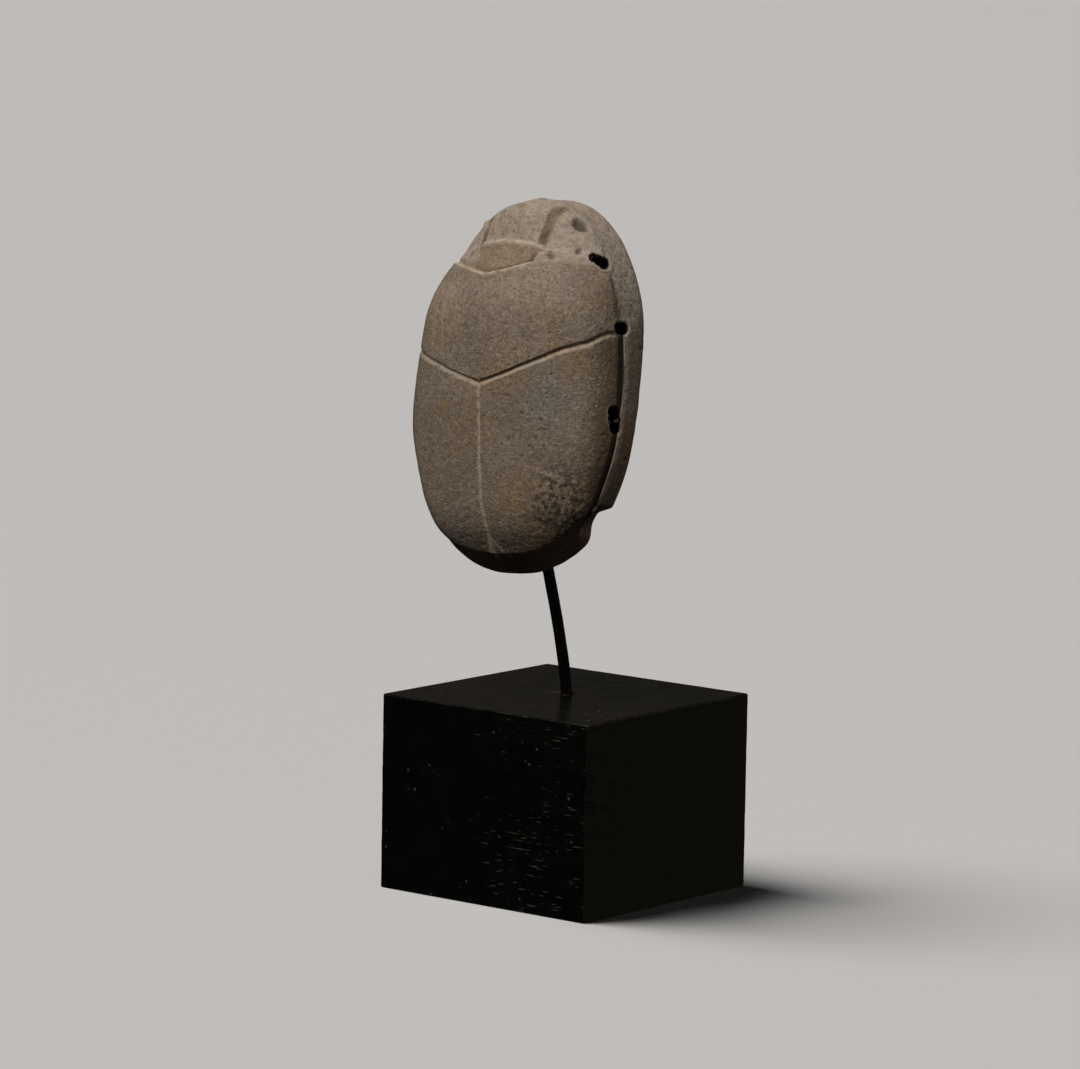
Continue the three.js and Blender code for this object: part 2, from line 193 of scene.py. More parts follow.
# %% Outline and back of the beetle
STONE_WIDTH = 42.1
WIDEST_AT = -5.7
HEAD_TIP, TAIL_TIP = 31.7, -31.8
HEAD_ROUNDNESS, TAIL_ROUNDNESS, FOOT_ROUNDNESS = 2.11, 2.55, 2.28
ARCH_ROUNDNESS = {"tail": 2.5, "middle": 2.27, "head": 1.56}
BROW_ROUNDNESS = 13
BACK_INSET = (0.8, 0.9, 2.5)  # side, head and tail: how far inside the outline the back's edge runs
BROW_SLANT = 0.07  # the brow falls by this share of the way to the left

midline_height = station_curve([(-29.3, 5.7), (-25.6, 8.7), (-22.4, 10.3), (-10.9, 13.6), (1.6, 16.4),
                                (11.8, 18.4), (15.4, 18.1), (22, 14.9), (27, 14.5), (30.8, 7.9)])
edge_height = station_curve([(-29.3, 5.4), (-12, 4.9), (0, 5.3), (20, 7.4), (30.8, 6)])


def half_shape(y, inset):
    """Roundness, reach and half width of the half superellipse that a given y lies on. The tail is squarer at
    the back's edge than at the foot."""
    to_head = y > WIDEST_AT
    tail_roundness = FOOT_ROUNDNESS + (TAIL_ROUNDNESS - FOOT_ROUNDNESS) * inset[2] / BACK_INSET[2]
    roundness = np.where(to_head, HEAD_ROUNDNESS, tail_roundness)
    reach = np.where(to_head, HEAD_TIP - WIDEST_AT - inset[1], WIDEST_AT - TAIL_TIP - inset[2])
    return roundness, reach, STONE_WIDTH / 2 - inset[0]


def outline(angle, inset):
    """A point of |x/a|^p + |y/b|^p = 1 at an angle round it. p and b differ between the head and the tail."""
    across, along = np.cos(angle), np.sin(angle)
    roundness, reach, half_width = half_shape(WIDEST_AT + along, inset)
    x = np.sign(across) * np.abs(across) ** (2 / roundness) * half_width
    return x, WIDEST_AT + np.sign(along) * np.abs(along) ** (2 / roundness) * reach


def half_width_at(y, inset):
    """The outline solved for x at a given y."""
    roundness, reach, half_width = half_shape(y, inset)
    part = np.clip(np.abs(y - WIDEST_AT) / reach, 0, 1)
    return half_width * (1 - part ** roundness) ** (1 / roundness)


def back_height(x, y):
    """A superellipse arch from the edge's height to the midline's at each y, rounded off at the brow."""
    middle = midline_height(y) + BROW_SLANT * np.clip(x, -6, 2) * smooth_step(24, 29, y)
    edge = np.minimum(edge_height(y), 0.95 * middle)
    part = np.clip(np.abs(x) / np.maximum(half_width_at(y, BACK_INSET), 1e-6), 0, 1)
    to_head, to_tail = smooth_step(8, 22, y), smooth_step(-8, -22, y)
    roundness = (ARCH_ROUNDNESS["middle"] + to_head * (ARCH_ROUNDNESS["head"] - ARCH_ROUNDNESS["middle"])
                 + to_tail * (ARCH_ROUNDNESS["tail"] - ARCH_ROUNDNESS["middle"]))
    arch = (1 - part ** roundness) ** (1 / roundness)
    forward = np.clip((y - WIDEST_AT) / (HEAD_TIP - BACK_INSET[1] - WIDEST_AT), 0, 1)
    brow = (1 - forward ** BROW_ROUNDNESS) ** (1 / BROW_ROUNDNESS)
    return edge + (middle - edge) * arch * brow


print("back height at the crest, mm:", round(float(back_height(0.0, 11.8)), 2))

# %% [markdown]
# ## Rings over the stone
# The whole skin is one surface of closed rings. They start at the point where the wing cases' lines meet,
# because those lines then run nearly along the columns and stay crisp. They go out over the back, down
# the flank with its groove and the leg plate's lip, in over the flat underside and up into the hole that
# was drilled for the rod.

# %% Columns and back rings
COLUMNS = 600
BACK_ROWS = 122
SUTURE_MEET = (-1.1, -2.4)
TAIL_LEAN = 1.4
ANGLES_TRIED = 20001


def even_angles(inset, count):
    """Angles at which the outline's points lie at even steps along it."""
    fine = np.linspace(0, 2 * np.pi, ANGLES_TRIED)
    x, y = outline(fine, inset)
    walked = np.concatenate([[0], np.cumsum(np.hypot(np.diff(x), np.diff(y)))])
    return np.interp(np.arange(count) / count * walked[-1], walked, fine)


angles = even_angles(BACK_INSET, COLUMNS)
edge_x, edge_y = outline(angles, BACK_INSET)
share = np.sin(np.arange(1, BACK_ROWS + 1) / BACK_ROWS * np.pi / 2)[:, None]  # rings crowd towards the edge
back_x = SUTURE_MEET[0] + (edge_x - SUTURE_MEET[0]) * share
back_y = SUTURE_MEET[1] + (edge_y - SUTURE_MEET[1]) * share


def sideways(x, y, share_of_lean):
    """How far the hand-carved form is off the regular one. It swells a little on its left and at its right
    shoulder, is slimmer at both sides of the head, and its back leans to the right towards the tail."""
    out = np.clip(np.abs(x) / np.maximum(half_width_at(y, BACK_INSET), 1), 0, 1) ** 2
    on_right = smooth_step(-6, 6, x)
    left = smooth_step(-8, -19, y) * (1 - 0.55 * smooth_step(-22, -28, y))
    right = 0.8 * smooth_step(-16, -24, y)
    lean = TAIL_LEAN * share_of_lean * (left * (1 - on_right) + right * on_right)
    swell_left = 0.5 * smooth_step(21, 27, y) - 0.35 * bump(y + 3, 12)
    swell_right = 0.6 * bump(y - 14, 12) - 0.3 * smooth_step(24, 29, y)
    return lean + out * (swell_left * (1 - on_right) + swell_right * on_right)


back_rings = np.stack([back_x + sideways(back_x, back_y, 1), back_y, back_height(back_x, back_y)], axis=-1)
print("back rings:", back_rings.shape[:2])

# %% Flank rings: groove, lip, leg plate and foot
NOTCH_TOP, NOTCH_BOTTOM, NOTCH_CORNER = -22.6, -26.4, 1.2
NOTCH_SLOPE = 0.32
HEAD_ZONE = (7.5, 12)
# Each line down the flank: insets at the side, head and tail, then (share of the edge's height, drop) at the
# side, round the head and round the tail, and how far the notch at the leg plate's end pulls it in.
FLANK_LINES = [
    ((0.80, 0.90, 2.50), (1.00, 0.00), (1.00, 0.00), (1.00, 0.00), 0.0),
    ((0.88, 0.90, 2.55), (1.00, 0.45), (1.00, 0.25), (1.00, 0.35), 0.2),
    ((0.74, 0.87, 2.50), (1.00, 1.05), (1.00, 0.55), (0.90, 0.40), 0.5),
    ((0.44, 0.79, 2.25), (1.00, 0.96), (0.95, 0.65), (0.80, 0.40), 0.8),
    ((0.20, 0.66, 1.95), (1.00, 0.42), (0.84, 0.70), (0.72, 0.40), 1.25),
    ((0.08, 0.48, 1.60), (0.92, 0.50), (0.68, 0.55), (0.58, 0.30), 1.75),
    ((0.00, 0.28, 1.15), (0.72, 0.10), (0.50, 0.30), (0.44, 0.20), 2.05),
    ((0.00, 0.10, 0.70), (0.48, 0.00), (0.33, 0.10), (0.31, 0.10), 2.2),
    ((0.00, 0.00, 0.30), (0.24, 0.00), (0.17, 0.00), (0.16, 0.00), 2.3),
    ((0.12, 0.15, 0.12), (0.07, 0.00), (0.05, 0.00), (0.05, 0.00), 2.3),
    ((0.30, 0.50, 0.30), (0.00, 0.00), (0.00, 0.00), (0.00, 0.00), 2.3),
]
ROWS_PER_LINE = 3

head_zone = smooth_step(*HEAD_ZONE, edge_y)
tail_zone = smooth_step(NOTCH_TOP, NOTCH_TOP - 3, edge_y)
side_zone = 1 - head_zone - tail_zone


def notch_share(y, pull):
    """1 just past the leg plate's end, 0 on the plate, easing out again towards the tail. The deeper a line
    is pulled in, the nearer to the head it begins, which slopes the plate's lower edge."""
    top = NOTCH_TOP + NOTCH_SLOPE * pull ** 2
    return (1 - smooth_step(top, top + NOTCH_CORNER, y)) * smooth_step(NOTCH_BOTTOM, top - 1, y)


def flank_line(line):
    """One line round the flank: the outline at its inset, pulled in at the notch, at its height. Round the
    head the side inset goes over to one in proportion to the head's, so that no crease is left."""
    inset, side, head, tail, pull = line
    beside_head = inset[1] * BACK_INSET[0] / BACK_INSET[1]
    beside = inset[0] + (beside_head - inset[0]) * head_zone
    x, y = outline(angles, (beside, inset[1], inset[2]))
    edge = edge_height(y)
    height = sum(zone * (edge * part - drop)
                 for zone, (part, drop) in zip((side_zone, head_zone, tail_zone), (side, head, tail)))
    x = x + sideways(x, y, inset[2] / BACK_INSET[2]) - pull * np.where(x > 0, notch_share(y, pull), 0)
    return np.stack([x, y, np.maximum(height, 0)], axis=-1)


def smooth_rows(lines, rows_per_line):
    """Catmull-Rom curves through the lines, column by column, without the first line itself."""
    padded = np.concatenate([lines[:1], lines, lines[-1:]])
    t = (np.arange(1, rows_per_line + 1) / rows_per_line)[:, None, None]
    spans = []
    for a, b, c, d in zip(padded, padded[1:], padded[2:], padded[3:]):
        spans.append(0.5 * (2 * b + (c - a) * t + (2 * a - 5 * b + 4 * c - d) * t ** 2
                            + (3 * b - a - 3 * c + d) * t ** 3))
    return np.concatenate(spans)


flank_rings = smooth_rows(np.stack([flank_line(line) for line in FLANK_LINES]), ROWS_PER_LINE)
skin = np.concatenate([back_rings, flank_rings])
skin[..., 2] = np.maximum(skin[..., 2], 0)
on_back = np.arange(len(skin))[:, None] < BACK_ROWS
print("skin rings:", skin.shape[:2])

# %% [markdown]
# ## The carving
# The lines were cut with a pointed tool and rubbed with abrasive: a V-shaped groove where the shoulder
# plate meets the wing cases, a shallow line between the cases, a stepped-down neck with a small hollow, a
# fan-shaped head plate with a nicked edge, and a broad groove at each cheek. They could be cut by
# booleans, but worn cuts have no sharp walls. So each cut is a depth that depends on how far a point is
# from a line, and the depths are added, or the deeper one is taken where two would meet.

# %% Distances and cut profiles
x, y = skin[..., 0], skin[..., 1]


def grid_normals(points):
    """Outward unit normals of a surface of rings: across the rings, crossed with along them."""
    across = np.gradient(points, axis=0)
    along = np.roll(points, -1, axis=1) - np.roll(points, 1, axis=1)
    normal = np.cross(across, along)
    return normal / np.maximum(np.linalg.norm(normal, axis=-1, keepdims=True), 1e-9)


def v_cut(distance, ahead, behind):
    """A V, 1 deep on the line: straight walls, a rounded floor, and a width of its own on either side."""
    part = np.clip(1 - np.abs(distance) / np.where(distance > 0, ahead, behind), 0, 1)
    return part * (1 - 0.35 * part ** 3) / 0.65


def segment_distance(start, end):
    """Distance in plan from each point to a straight line from start to end."""
    start, end = np.array(start, float), np.array(end, float)
    run = end - start
    along = np.clip(((x - start[0]) * run[0] + (y - start[1]) * run[1]) / (run @ run), 0, 1)
    return np.hypot(x - start[0] - along * run[0], y - start[1] - along * run[1])


def on_surface(place):
    """The point of the back above a place in plan."""
    return np.array([*place, float(back_height(*place))])


def oval_distance(centre, radii, turn=0.0):
    """Distance from a point as a share of an oval's radii, the first of them along a line turned in plan."""
    away = skin - np.array(centre)
    direction = np.array([math.cos(turn), math.sin(turn), 0])
    along = away @ direction
    across = np.sqrt(np.maximum((away ** 2).sum(axis=-1) - along ** 2, 0))
    return np.hypot(along / radii[0], across / radii[1])


wander = 0.12 * lattice_noise(skin, 3.5, 11)  # a hand-cut line is never quite true

# %% Wing cases: the three sutures
RIGHT_ARM = (0.276, 0.0078)  # slope and curve
LEFT_ARM = (0.26, 0.006)
ARM_UPTURN = 2.4
SUTURE_DEPTH, SUTURE_AHEAD, SUTURE_BEHIND = 0.36, 0.27, 0.7
MIDLINE_DEPTH, MIDLINE_HALF_WIDTH = 0.16, 0.46


def suture_distance():
    """Signed distance to y = y0 + a u + b u^2, u being the distance from the meeting point to either side.
    At the right end the arm turns up a little, to the drilled hole."""
    out = np.abs(x - SUTURE_MEET[0])
    slope, curve = (np.where(x > SUTURE_MEET[0], right, left) for right, left in zip(RIGHT_ARM, LEFT_ARM))
    rise = y - (SUTURE_MEET[1] + slope * out + curve * out ** 2 + ARM_UPTURN * smooth_step(17.5, 20.5, x))
    return rise / np.hypot(1, slope + 2 * curve * out) + wander


on_wing_side = on_back * smooth_step(20.6, 19.0, np.abs(x))
suture = suture_distance()
fainter_left = 1 - 0.4 * smooth_step(0, -2, x - SUTURE_MEET[0])
cut = SUTURE_DEPTH * (on_wing_side * v_cut(suture, SUTURE_AHEAD, SUTURE_BEHIND) * fainter_left)
midline_x = SUTURE_MEET[0] + 0.25 * smooth_step(-3, -9, y) + 0.75 * smooth_step(-18, -29, y)
midline = x - midline_x + wander
below_meet = smooth_step(SUTURE_MEET[1] + 0.3, SUTURE_MEET[1] - 0.5, y)
midline_cut = on_back * below_meet * v_cut(midline, MIDLINE_HALF_WIDTH, MIDLINE_HALF_WIDTH)
cut = np.maximum(cut, MIDLINE_DEPTH * midline_cut * smooth_step(-29.5, -26, y))
print("deepest suture, mm:", round(float(cut.max()), 2))

# %% Neck: the shoulder plate's front edge, the hollow in front of it and the ridge beyond
NECK_CUSP = (-1.3, 15.2)
HOLLOW_RIGHT, HOLLOW_LEFT = 6.3, -6.7
HOLLOW_DEPTH = (1.25, 0.15)
RIDGE_FRONT, RIDGE_SWEEP = 21.3, 0.007

beside_cusp = np.abs(x - NECK_CUSP[0])
neck_line = NECK_CUSP[1] + np.where(x > NECK_CUSP[0], 0.16 * beside_cusp + 0.024 * beside_cusp ** 2,
                                    0.3 * beside_cusp)
neck_line = np.minimum(neck_line, 18.2 + 0.04 * beside_cusp)
neck = (y - neck_line) * 0.96 + 0.6 * wander
ridge_line = RIDGE_FRONT - RIDGE_SWEEP * x ** 2
in_hollow = (smooth_step(HOLLOW_RIGHT + 0.2, HOLLOW_RIGHT - 0.15, x)
             * smooth_step(HOLLOW_LEFT - 1.2, HOLLOW_LEFT + 2.4, x))
across_hollow = np.clip(neck / np.maximum(ridge_line - neck_line, 0.5), 0, 1)
hollow = smooth_step(0.15, 0.5, neck) * smooth_step(1.02, 0.93, across_hollow)
hollow_cut = on_back * in_hollow * hollow * (HOLLOW_DEPTH[0] + (HOLLOW_DEPTH[1] - HOLLOW_DEPTH[0])
                                             * across_hollow ** 0.7)
past_hollow = smooth_step(HOLLOW_RIGHT - 0.6, HOLLOW_RIGHT + 0.6, x) * smooth_step(15.6, 13.5, x)
left_of_hollow = smooth_step(HOLLOW_LEFT + 1.5, HOLLOW_LEFT - 1.5, x) * smooth_step(-15.6, -13.5, x)
neck_cut = on_back * (0.28 * past_hollow + 0.5 * left_of_hollow) * v_cut(neck - 0.3, 0.7, 0.5)
beside_hollow = past_hollow + left_of_hollow
head_drop = on_back * 0.25 * beside_hollow * smooth_step(0.1, 0.9, neck) * smooth_step(6, 2, neck)
along_ridge = smooth_step(-7.5, -5, x) * smooth_step(6.9, 6.2, x)
ridge = on_back * along_ridge * bump(y - ridge_line - 0.15 + wander, 0.6)
shoulder_bead = on_back * (in_hollow + 0.4 * past_hollow + left_of_hollow) * bump(neck + 0.05, 0.55)
cut = np.maximum(cut, hollow_cut) + neck_cut + head_drop - 0.25 * ridge - 0.1 * shoulder_bead
print("hollow depth, mm:", round(float(hollow_cut.max()), 2))

# %% Head: cheek grooves, nicked plate edge, eyes and small hollows
CHEEK_PATH = [(6.2, 21.5), (6.5, 24.4), (6.4, 27.0), (6.0, 28.4)]
CHEEK_HALF_WIDTH = 0.85
EYE_RIM, EYE_PIT = (8.3, 25.6), (10.1, 25.9)
EYE_RIM_RADII, EYE_PIT_RADII, EYE_PIT_TURN = (1.5, 1.3), (4.4, 2.0), 0.95
SMALL_PITS = [((8.5, 19.6), (1.1, 0.65)), ((11.9, 21.0), (0.5, 0.95))]  # place and radii
PLATE_MIDDLE = 19.0
NICKS = [(-49, 0.2), (-28, 0.22), (-12, 0.3), (5, 0.2)]  # degrees from straight ahead, and depth


def path_distance(path, side):
    """Distance in plan to the nearest of a path's straight pieces, and which side of it a point is on."""
    nearest = np.full(x.shape, 1e9)
    beside = np.zeros(x.shape)
    for start, end in zip(path, path[1:]):
        a, b = (side * start[0], start[1]), (side * end[0], end[1])
        distance = segment_distance(a, b)
        outwards = side * ((b[1] - a[1]) * (x - a[0]) - (b[0] - a[0]) * (y - a[1])) / math.dist(a, b)
        beside = np.where(distance < nearest, outwards, beside)
        nearest = np.minimum(nearest, distance)
    return nearest, beside


cheek_mark, eye_pits, eye_bumps, small_pits = (np.zeros(x.shape) for _ in range(4))
for side in (1, -1):
    distance, outwards = path_distance(CHEEK_PATH, side)
    trough = on_back * smooth_step(1, 0.55, (distance + 0.5 * wander) / CHEEK_HALF_WIDTH)
    scores = sum(v_cut(outwards - offset + wander, 0.2, 0.2) for offset in (0.1, 0.62)) * trough
    cheek_mark = np.maximum(cheek_mark, trough)
    cut += (0.34 if side > 0 else 0.1) * trough + 0.2 * scores
    rim = on_surface((side * EYE_RIM[0], EYE_RIM[1]))
    pit = on_surface((side * EYE_PIT[0], EYE_PIT[1]))
    eye_bump = on_back * bump(oval_distance(rim, EYE_RIM_RADII), 1)
    eye_bumps = np.maximum(eye_bumps, eye_bump)
    cut -= 0.45 * eye_bump
    from_pit = oval_distance(pit, EYE_PIT_RADII, side * EYE_PIT_TURN)
    eye_pit = on_back * smooth_step(1, 0.45, from_pit + 0.5 * wander)
    eye_pits = np.maximum(eye_pits, eye_pit)
    cut += 0.8 * eye_pit
    ridge_away = segment_distance((side * 6.4, 20.7), (side * 9.2, 20.2))
    cut -= 0.22 * on_back * bump(ridge_away, 0.6)
    for place, radii in SMALL_PITS:
        middle = on_surface((side * place[0], place[1]))
        small_pit = on_back * smooth_step(1, 0.5, oval_distance(middle, radii))
        small_pits = np.maximum(small_pits, small_pit)
        cut += 0.35 * small_pit
    scratch = segment_distance((side * 10.3, 24.0), (side * 12.6, 22.6))
    cut += 0.12 * on_back * bump(scratch, 0.4)

bearing = np.degrees(np.arctan2(x, y - PLATE_MIDDLE))
plate_rim = on_back * smooth_step(6.4, 9.2, np.hypot(x, y - PLATE_MIDDLE)) * (y > PLATE_MIDDLE)
nick_cut = sum(depth * bump(bearing - at, 4.2) for at, depth in NICKS) * plate_rim
cut += nick_cut
print("eye pit at", np.round(pit, 1).tolist())

# %% [markdown]
# ## Wear and grain
# The stone was rubbed smooth and then worn: the surface rolls very slightly, its grain stands out where
# it was not polished, and the lower right of the back is coarser and pitted. The noise adds as much as it
# takes away, so the finished points are clipped to the CAD model's box at the end.

# %% Rolling surface, grain, coarse patch and pits
SPECKS = [(13.9, 9.6), (16.4, 10.6), (12.7, -0.6), (7.8, -7.2), (9.6, -6.6), (11.2, -8.0)]
FLANK_SPECKS = [(20.3, 6.9, 0.9), (20.8, -11.9, 1.4)]

coarse = smooth_step(1.35, 0.35, oval_distance((14.0, -20.5, 8.0), (6.0, 7.0)))
coarse = np.maximum(coarse, 0.25 * smooth_step(1.2, 0.4, oval_distance((17.0, 15.0, 4.0), (5.0, 12.0))))


def random_pits(count, sizes, depth, seed):
    """Small round dents at random points of the skin: the deepest one wins where they meet."""
    rng = np.random.default_rng(seed)
    rows = rng.integers(20, len(skin) - 4, count)
    centres = skin[rows, rng.integers(0, COLUMNS, count)]
    dents = np.zeros(x.shape)
    for centre, size in zip(centres, rng.uniform(*sizes, count)):
        near = np.abs(skin - centre).max(axis=-1) < size
        away = np.linalg.norm(skin[near] - centre, axis=-1)
        dents[near] = np.maximum(dents[near], depth * bump(away, size))
    return dents


rolling = 0.08 * lattice_noise(skin, 7.0, 21) + 0.03 * lattice_noise(skin, 2.6, 22)
grain = ((0.018 + 0.05 * coarse) * lattice_noise(skin, 0.9, 23)
         + (0.012 + 0.05 * coarse) * lattice_noise(skin, 0.5, 24))
pits = random_pits(260, (0.25, 0.55), 0.12, 25)
for place in SPECKS:
    pits = np.maximum(pits, 0.3 * bump(oval_distance(on_surface(place), (0.35, 0.3)), 1))
for place in FLANK_SPECKS:
    pits = np.maximum(pits, 0.5 * bump(oval_distance(place, (0.5, 0.5)), 1))

relief = rolling + grain
worn = skin + grid_normals(skin) * (relief - pits - cut)[..., None]
print("grain and wear, mm:", np.round([relief.min(), relief.max()], 2).tolist())

# %% [markdown]
# ## Drilled holes
# Three holes on each side pierce the edge of the back. A hole is made by moving the skin inwards along
# the drill's axis wherever a point is within its radius, after pulling nearby points onto the rim to make
# it crisp.

# %% Drill the holes
DRILL_AXIS = (0.75, 0.0, 0.66)
# centre, radius, depth
DRILLINGS = [((19.1, 9.1, 6.0), 1.15, 2.6), ((19.5, 9.15, 5.7), 1.15, 2.6),
             ((15.1, 19.6, 7.8), 1.25, 2.4), ((14.3, 19.85, 8.2), 1.05, 2.2), ((13.5, 20.2, 8.7), 0.85, 0.8),
             ((20.0, -5.0, 5.5), 1.2, 2.6), ((20.15, -6.3, 5.2), 1.3, 0.8), ((20.3, -7.4, 4.9), 1.1, 2.2)]


def drill(points, centre, axis, radius, depth):
    """Points near the rim are drawn onto it, and points inside move down the axis. Also gives the hole's mask
    and the distance from its axis in radii."""
    axis = np.array(axis) / np.linalg.norm(axis)
    away = points - np.array(centre)
    along = away @ axis
    outwards = away - along[..., None] * axis
    distance = np.linalg.norm(outwards, axis=-1)
    near = (np.abs(along) < 2.5) & (distance < 1.35 * radius)
    offset = (distance - radius) / (0.35 * radius)
    drawn = radius * (1 + 0.35 * offset * np.abs(np.clip(offset, -1, 1)) ** 0.8)
    scale = np.where(near & (np.abs(offset) < 1), drawn / np.maximum(distance, 1e-6), 1)
    inside = np.where(near, smooth_step(1.0, 0.86, scale * distance / radius), 0)
    moved = points + outwards * (scale - 1)[..., None]
    floor = np.maximum(along + depth, 0)
    return moved - axis * (inside * floor)[..., None], inside, np.where(near, distance / radius, 9)


hole_mask = np.zeros(x.shape)
rim_mask = np.zeros(x.shape)
for centre, radius, depth in DRILLINGS:
    for side in (1, -1):
        middle = (side * centre[0], centre[1], centre[2])
        worn, inside, distance = drill(worn, middle, (side * DRILL_AXIS[0], 0, DRILL_AXIS[2]), radius, depth)
        hole_mask = np.maximum(hole_mask, inside)
        rim_mask = np.maximum(rim_mask, bump(distance - 1.15, 0.25))
rim_mask *= 1 - hole_mask
worn[..., 2] = np.maximum(worn[..., 2], 0)
print("drillings:", 2 * len(DRILLINGS))

# %% [markdown]
# ## Underside, rod hole and placing
# The stone leans back on its rod and is turned a little. Its place is found from the frame: the plain
# form, turned the same way, has to fill the CAD stone's box, and whatever is left over is the move.

# %% Underside rings and the drilled socket
LEAN, TURN = math.radians(16.9), math.radians(3.8)
ROD_RADIUS = 1.0
SOCKET_RADIUS = ROD_RADIUS + 0.3
ROD_BEND = 1.29

tilt = np.array([[1, 0, 0], [0, math.sin(LEAN), -math.cos(LEAN)], [0, math.cos(LEAN), math.sin(LEAN)]])
spin = np.array([[math.cos(TURN), -math.sin(TURN), 0], [math.sin(TURN), math.cos(TURN), 0], [0, 0, 1]])
stone_axes = tilt @ spin
plain_form = np.concatenate([back_rings, flank_rings]).reshape(-1, 3) @ stone_axes.T
scarab_low, scarab_high = (np.array(corner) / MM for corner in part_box("scarab"))
stone_centre = scarab_high - plain_form.max(axis=0)
stone_centre[1] = scarab_low[1] - plain_form[:, 1].min()
print("stone's centre, mm:", np.round(stone_centre, 2).tolist())

rod_foot = np.array([0.0, 0.0, block_high[2]])
rod_rise, rod_reach = rod_high[2] - block_high[2], -rod_low[1]
end_slope = math.atan(ROD_BEND * rod_reach / rod_rise)
rod_rise -= ROD_RADIUS * math.sin(end_slope)
rod_reach -= ROD_RADIUS * math.cos(end_slope)


def rod_line(rise):
    """The rod's axis at a height above the block, reaching forward by a power of the height."""
    forward = rod_reach * (np.maximum(rise, 0) / rod_rise) ** ROD_BEND
    return rod_foot + np.stack([0 * rise, -forward, rise], axis=-1)


rod_points = (rod_line(np.linspace(0, rod_rise, 400)) - stone_centre) @ stone_axes
entry = rod_points[np.argmin(np.abs(rod_points[:, 2]))]
rod_end = rod_points[-1]
socket_axis = (rod_end - entry) / np.linalg.norm(rod_end - entry)
print("rod enters the stone at", np.round(entry, 2).tolist(), "and ends at", np.round(rod_end, 2).tolist())

UNDER_SHARES = np.array([0.985, 0.93, 0.75, 0.45, 0.2])[:, None]
foot = worn[-1]
towards = foot[:, :2] - entry[:2]
unit = towards / np.linalg.norm(towards, axis=-1, keepdims=True)
flat_rings = entry[:2] + towards * UNDER_SHARES[..., None]
rim_rings = entry[:2] + unit * np.array([SOCKET_RADIUS * 1.25, SOCKET_RADIUS])[:, None, None]
under = np.concatenate([flat_rings, rim_rings])
under = np.concatenate([under, np.zeros(under.shape[:2] + (1,))], axis=-1)
under_wear = 0.05 * (lattice_noise(under, 1.2, 31) + 1) + 0.05 * (lattice_noise(under, 5.0, 32) + 1)
under[..., 2] += under_wear * smooth_step(0, 0.04, 1 - np.concatenate([UNDER_SHARES, [[0.1], [0.1]]]))
depths = np.array([0.3, 0.9, 1.0]) * (np.linalg.norm(rod_end - entry) + 0.4)
widths = np.array([1, 1, 0.5])
socket = under[-1] + socket_axis * depths[:, None, None]
socket[..., :2] += (widths[:, None, None] - 1) * unit * SOCKET_RADIUS
rings = np.concatenate([worn, under, socket])
print("rings in all:", len(rings))

# %% Make the stone's mesh and its masks
def in_all_rows(mask):
    """The mask of the skin, with 0 on the underside and in the socket."""
    rest = np.zeros((len(rings) - len(mask), COLUMNS))
    return np.concatenate([mask, rest]).ravel()


margin_part = np.abs(x) / np.maximum(half_width_at(y, BACK_INSET), 1)
# Darker brown towards the wing cases' side edges: painted shade where the back turns away from the light.
margin_shade = on_back * smooth_step(0.84, 0.99, margin_part) * smooth_step(9, 6, y) * smooth_step(-24, -19, y)
crumble = 0.5 + 0.5 * lattice_noise(skin, 0.7, 41)
lip_row = BACK_ROWS + 4 * ROWS_PER_LINE - 1
row = np.arange(len(skin))[:, None]
lip = np.minimum(1, 1.5 * bump(row - lip_row - 1.5, 6.5)) * side_zone * smooth_step(-23, -20.5, y)
# Near-black brown in the groove under the back's edge on the flank: painted shade.
groove = np.minimum(1, 1.9 * bump(row - (BACK_ROWS + 1.5), 7)) * side_zone
tail_split = np.maximum(bump(segment_distance((-0.1, -26.8), (-1.0, -29.6)), 0.5),
                        bump(segment_distance((-0.1, -26.8), (2.2, -29.3)), 0.45))
# Pale marks: chalky dust in the midline, the tail's split lines and the nicks, paler hole rims and ridge, and
# painted highlights on lit edges: the suture's lower wall, the shoulder bead, the leg plate's lip and the eye
# bumps.
dust_and_highlight = np.maximum.reduce([
    0.42 * on_wing_side * bump(suture + 0.4, 0.6), 0.6 * on_back * below_meet * bump(midline, 0.55),
    0.8 * ridge, 0.8 * shoulder_bead, 0.3 * lip, 0.35 * rim_mask, 0.3 * plate_rim * bump(nick_cut - 0.1, 0.2),
    0.9 * tail_split * below_meet, 0.5 * eye_bumps])
dust_and_highlight = np.clip(dust_and_highlight * (0.75 + 0.5 * crumble), 0, 1)
# Painted shade: the suture's upper wall, the base and right end of the hollow, the cheek grooves, the holes,
# the pits and the nicks.
shade = np.maximum.reduce([
    0.75 * on_wing_side * bump(suture - 0.12, 0.24) * smooth_step(-2, 2, x),
    on_back * in_hollow * bump(neck - 1.0, 0.65) * (0.5 + 0.5 * smooth_step(-3, 4, x)),
    0.9 * cheek_mark, hole_mask, pits / 0.3, 1.4 * nick_cut,
    on_back * bump(x - HOLLOW_RIGHT + 0.6, 0.6) * bump(neck - 1.6, 1.5)])
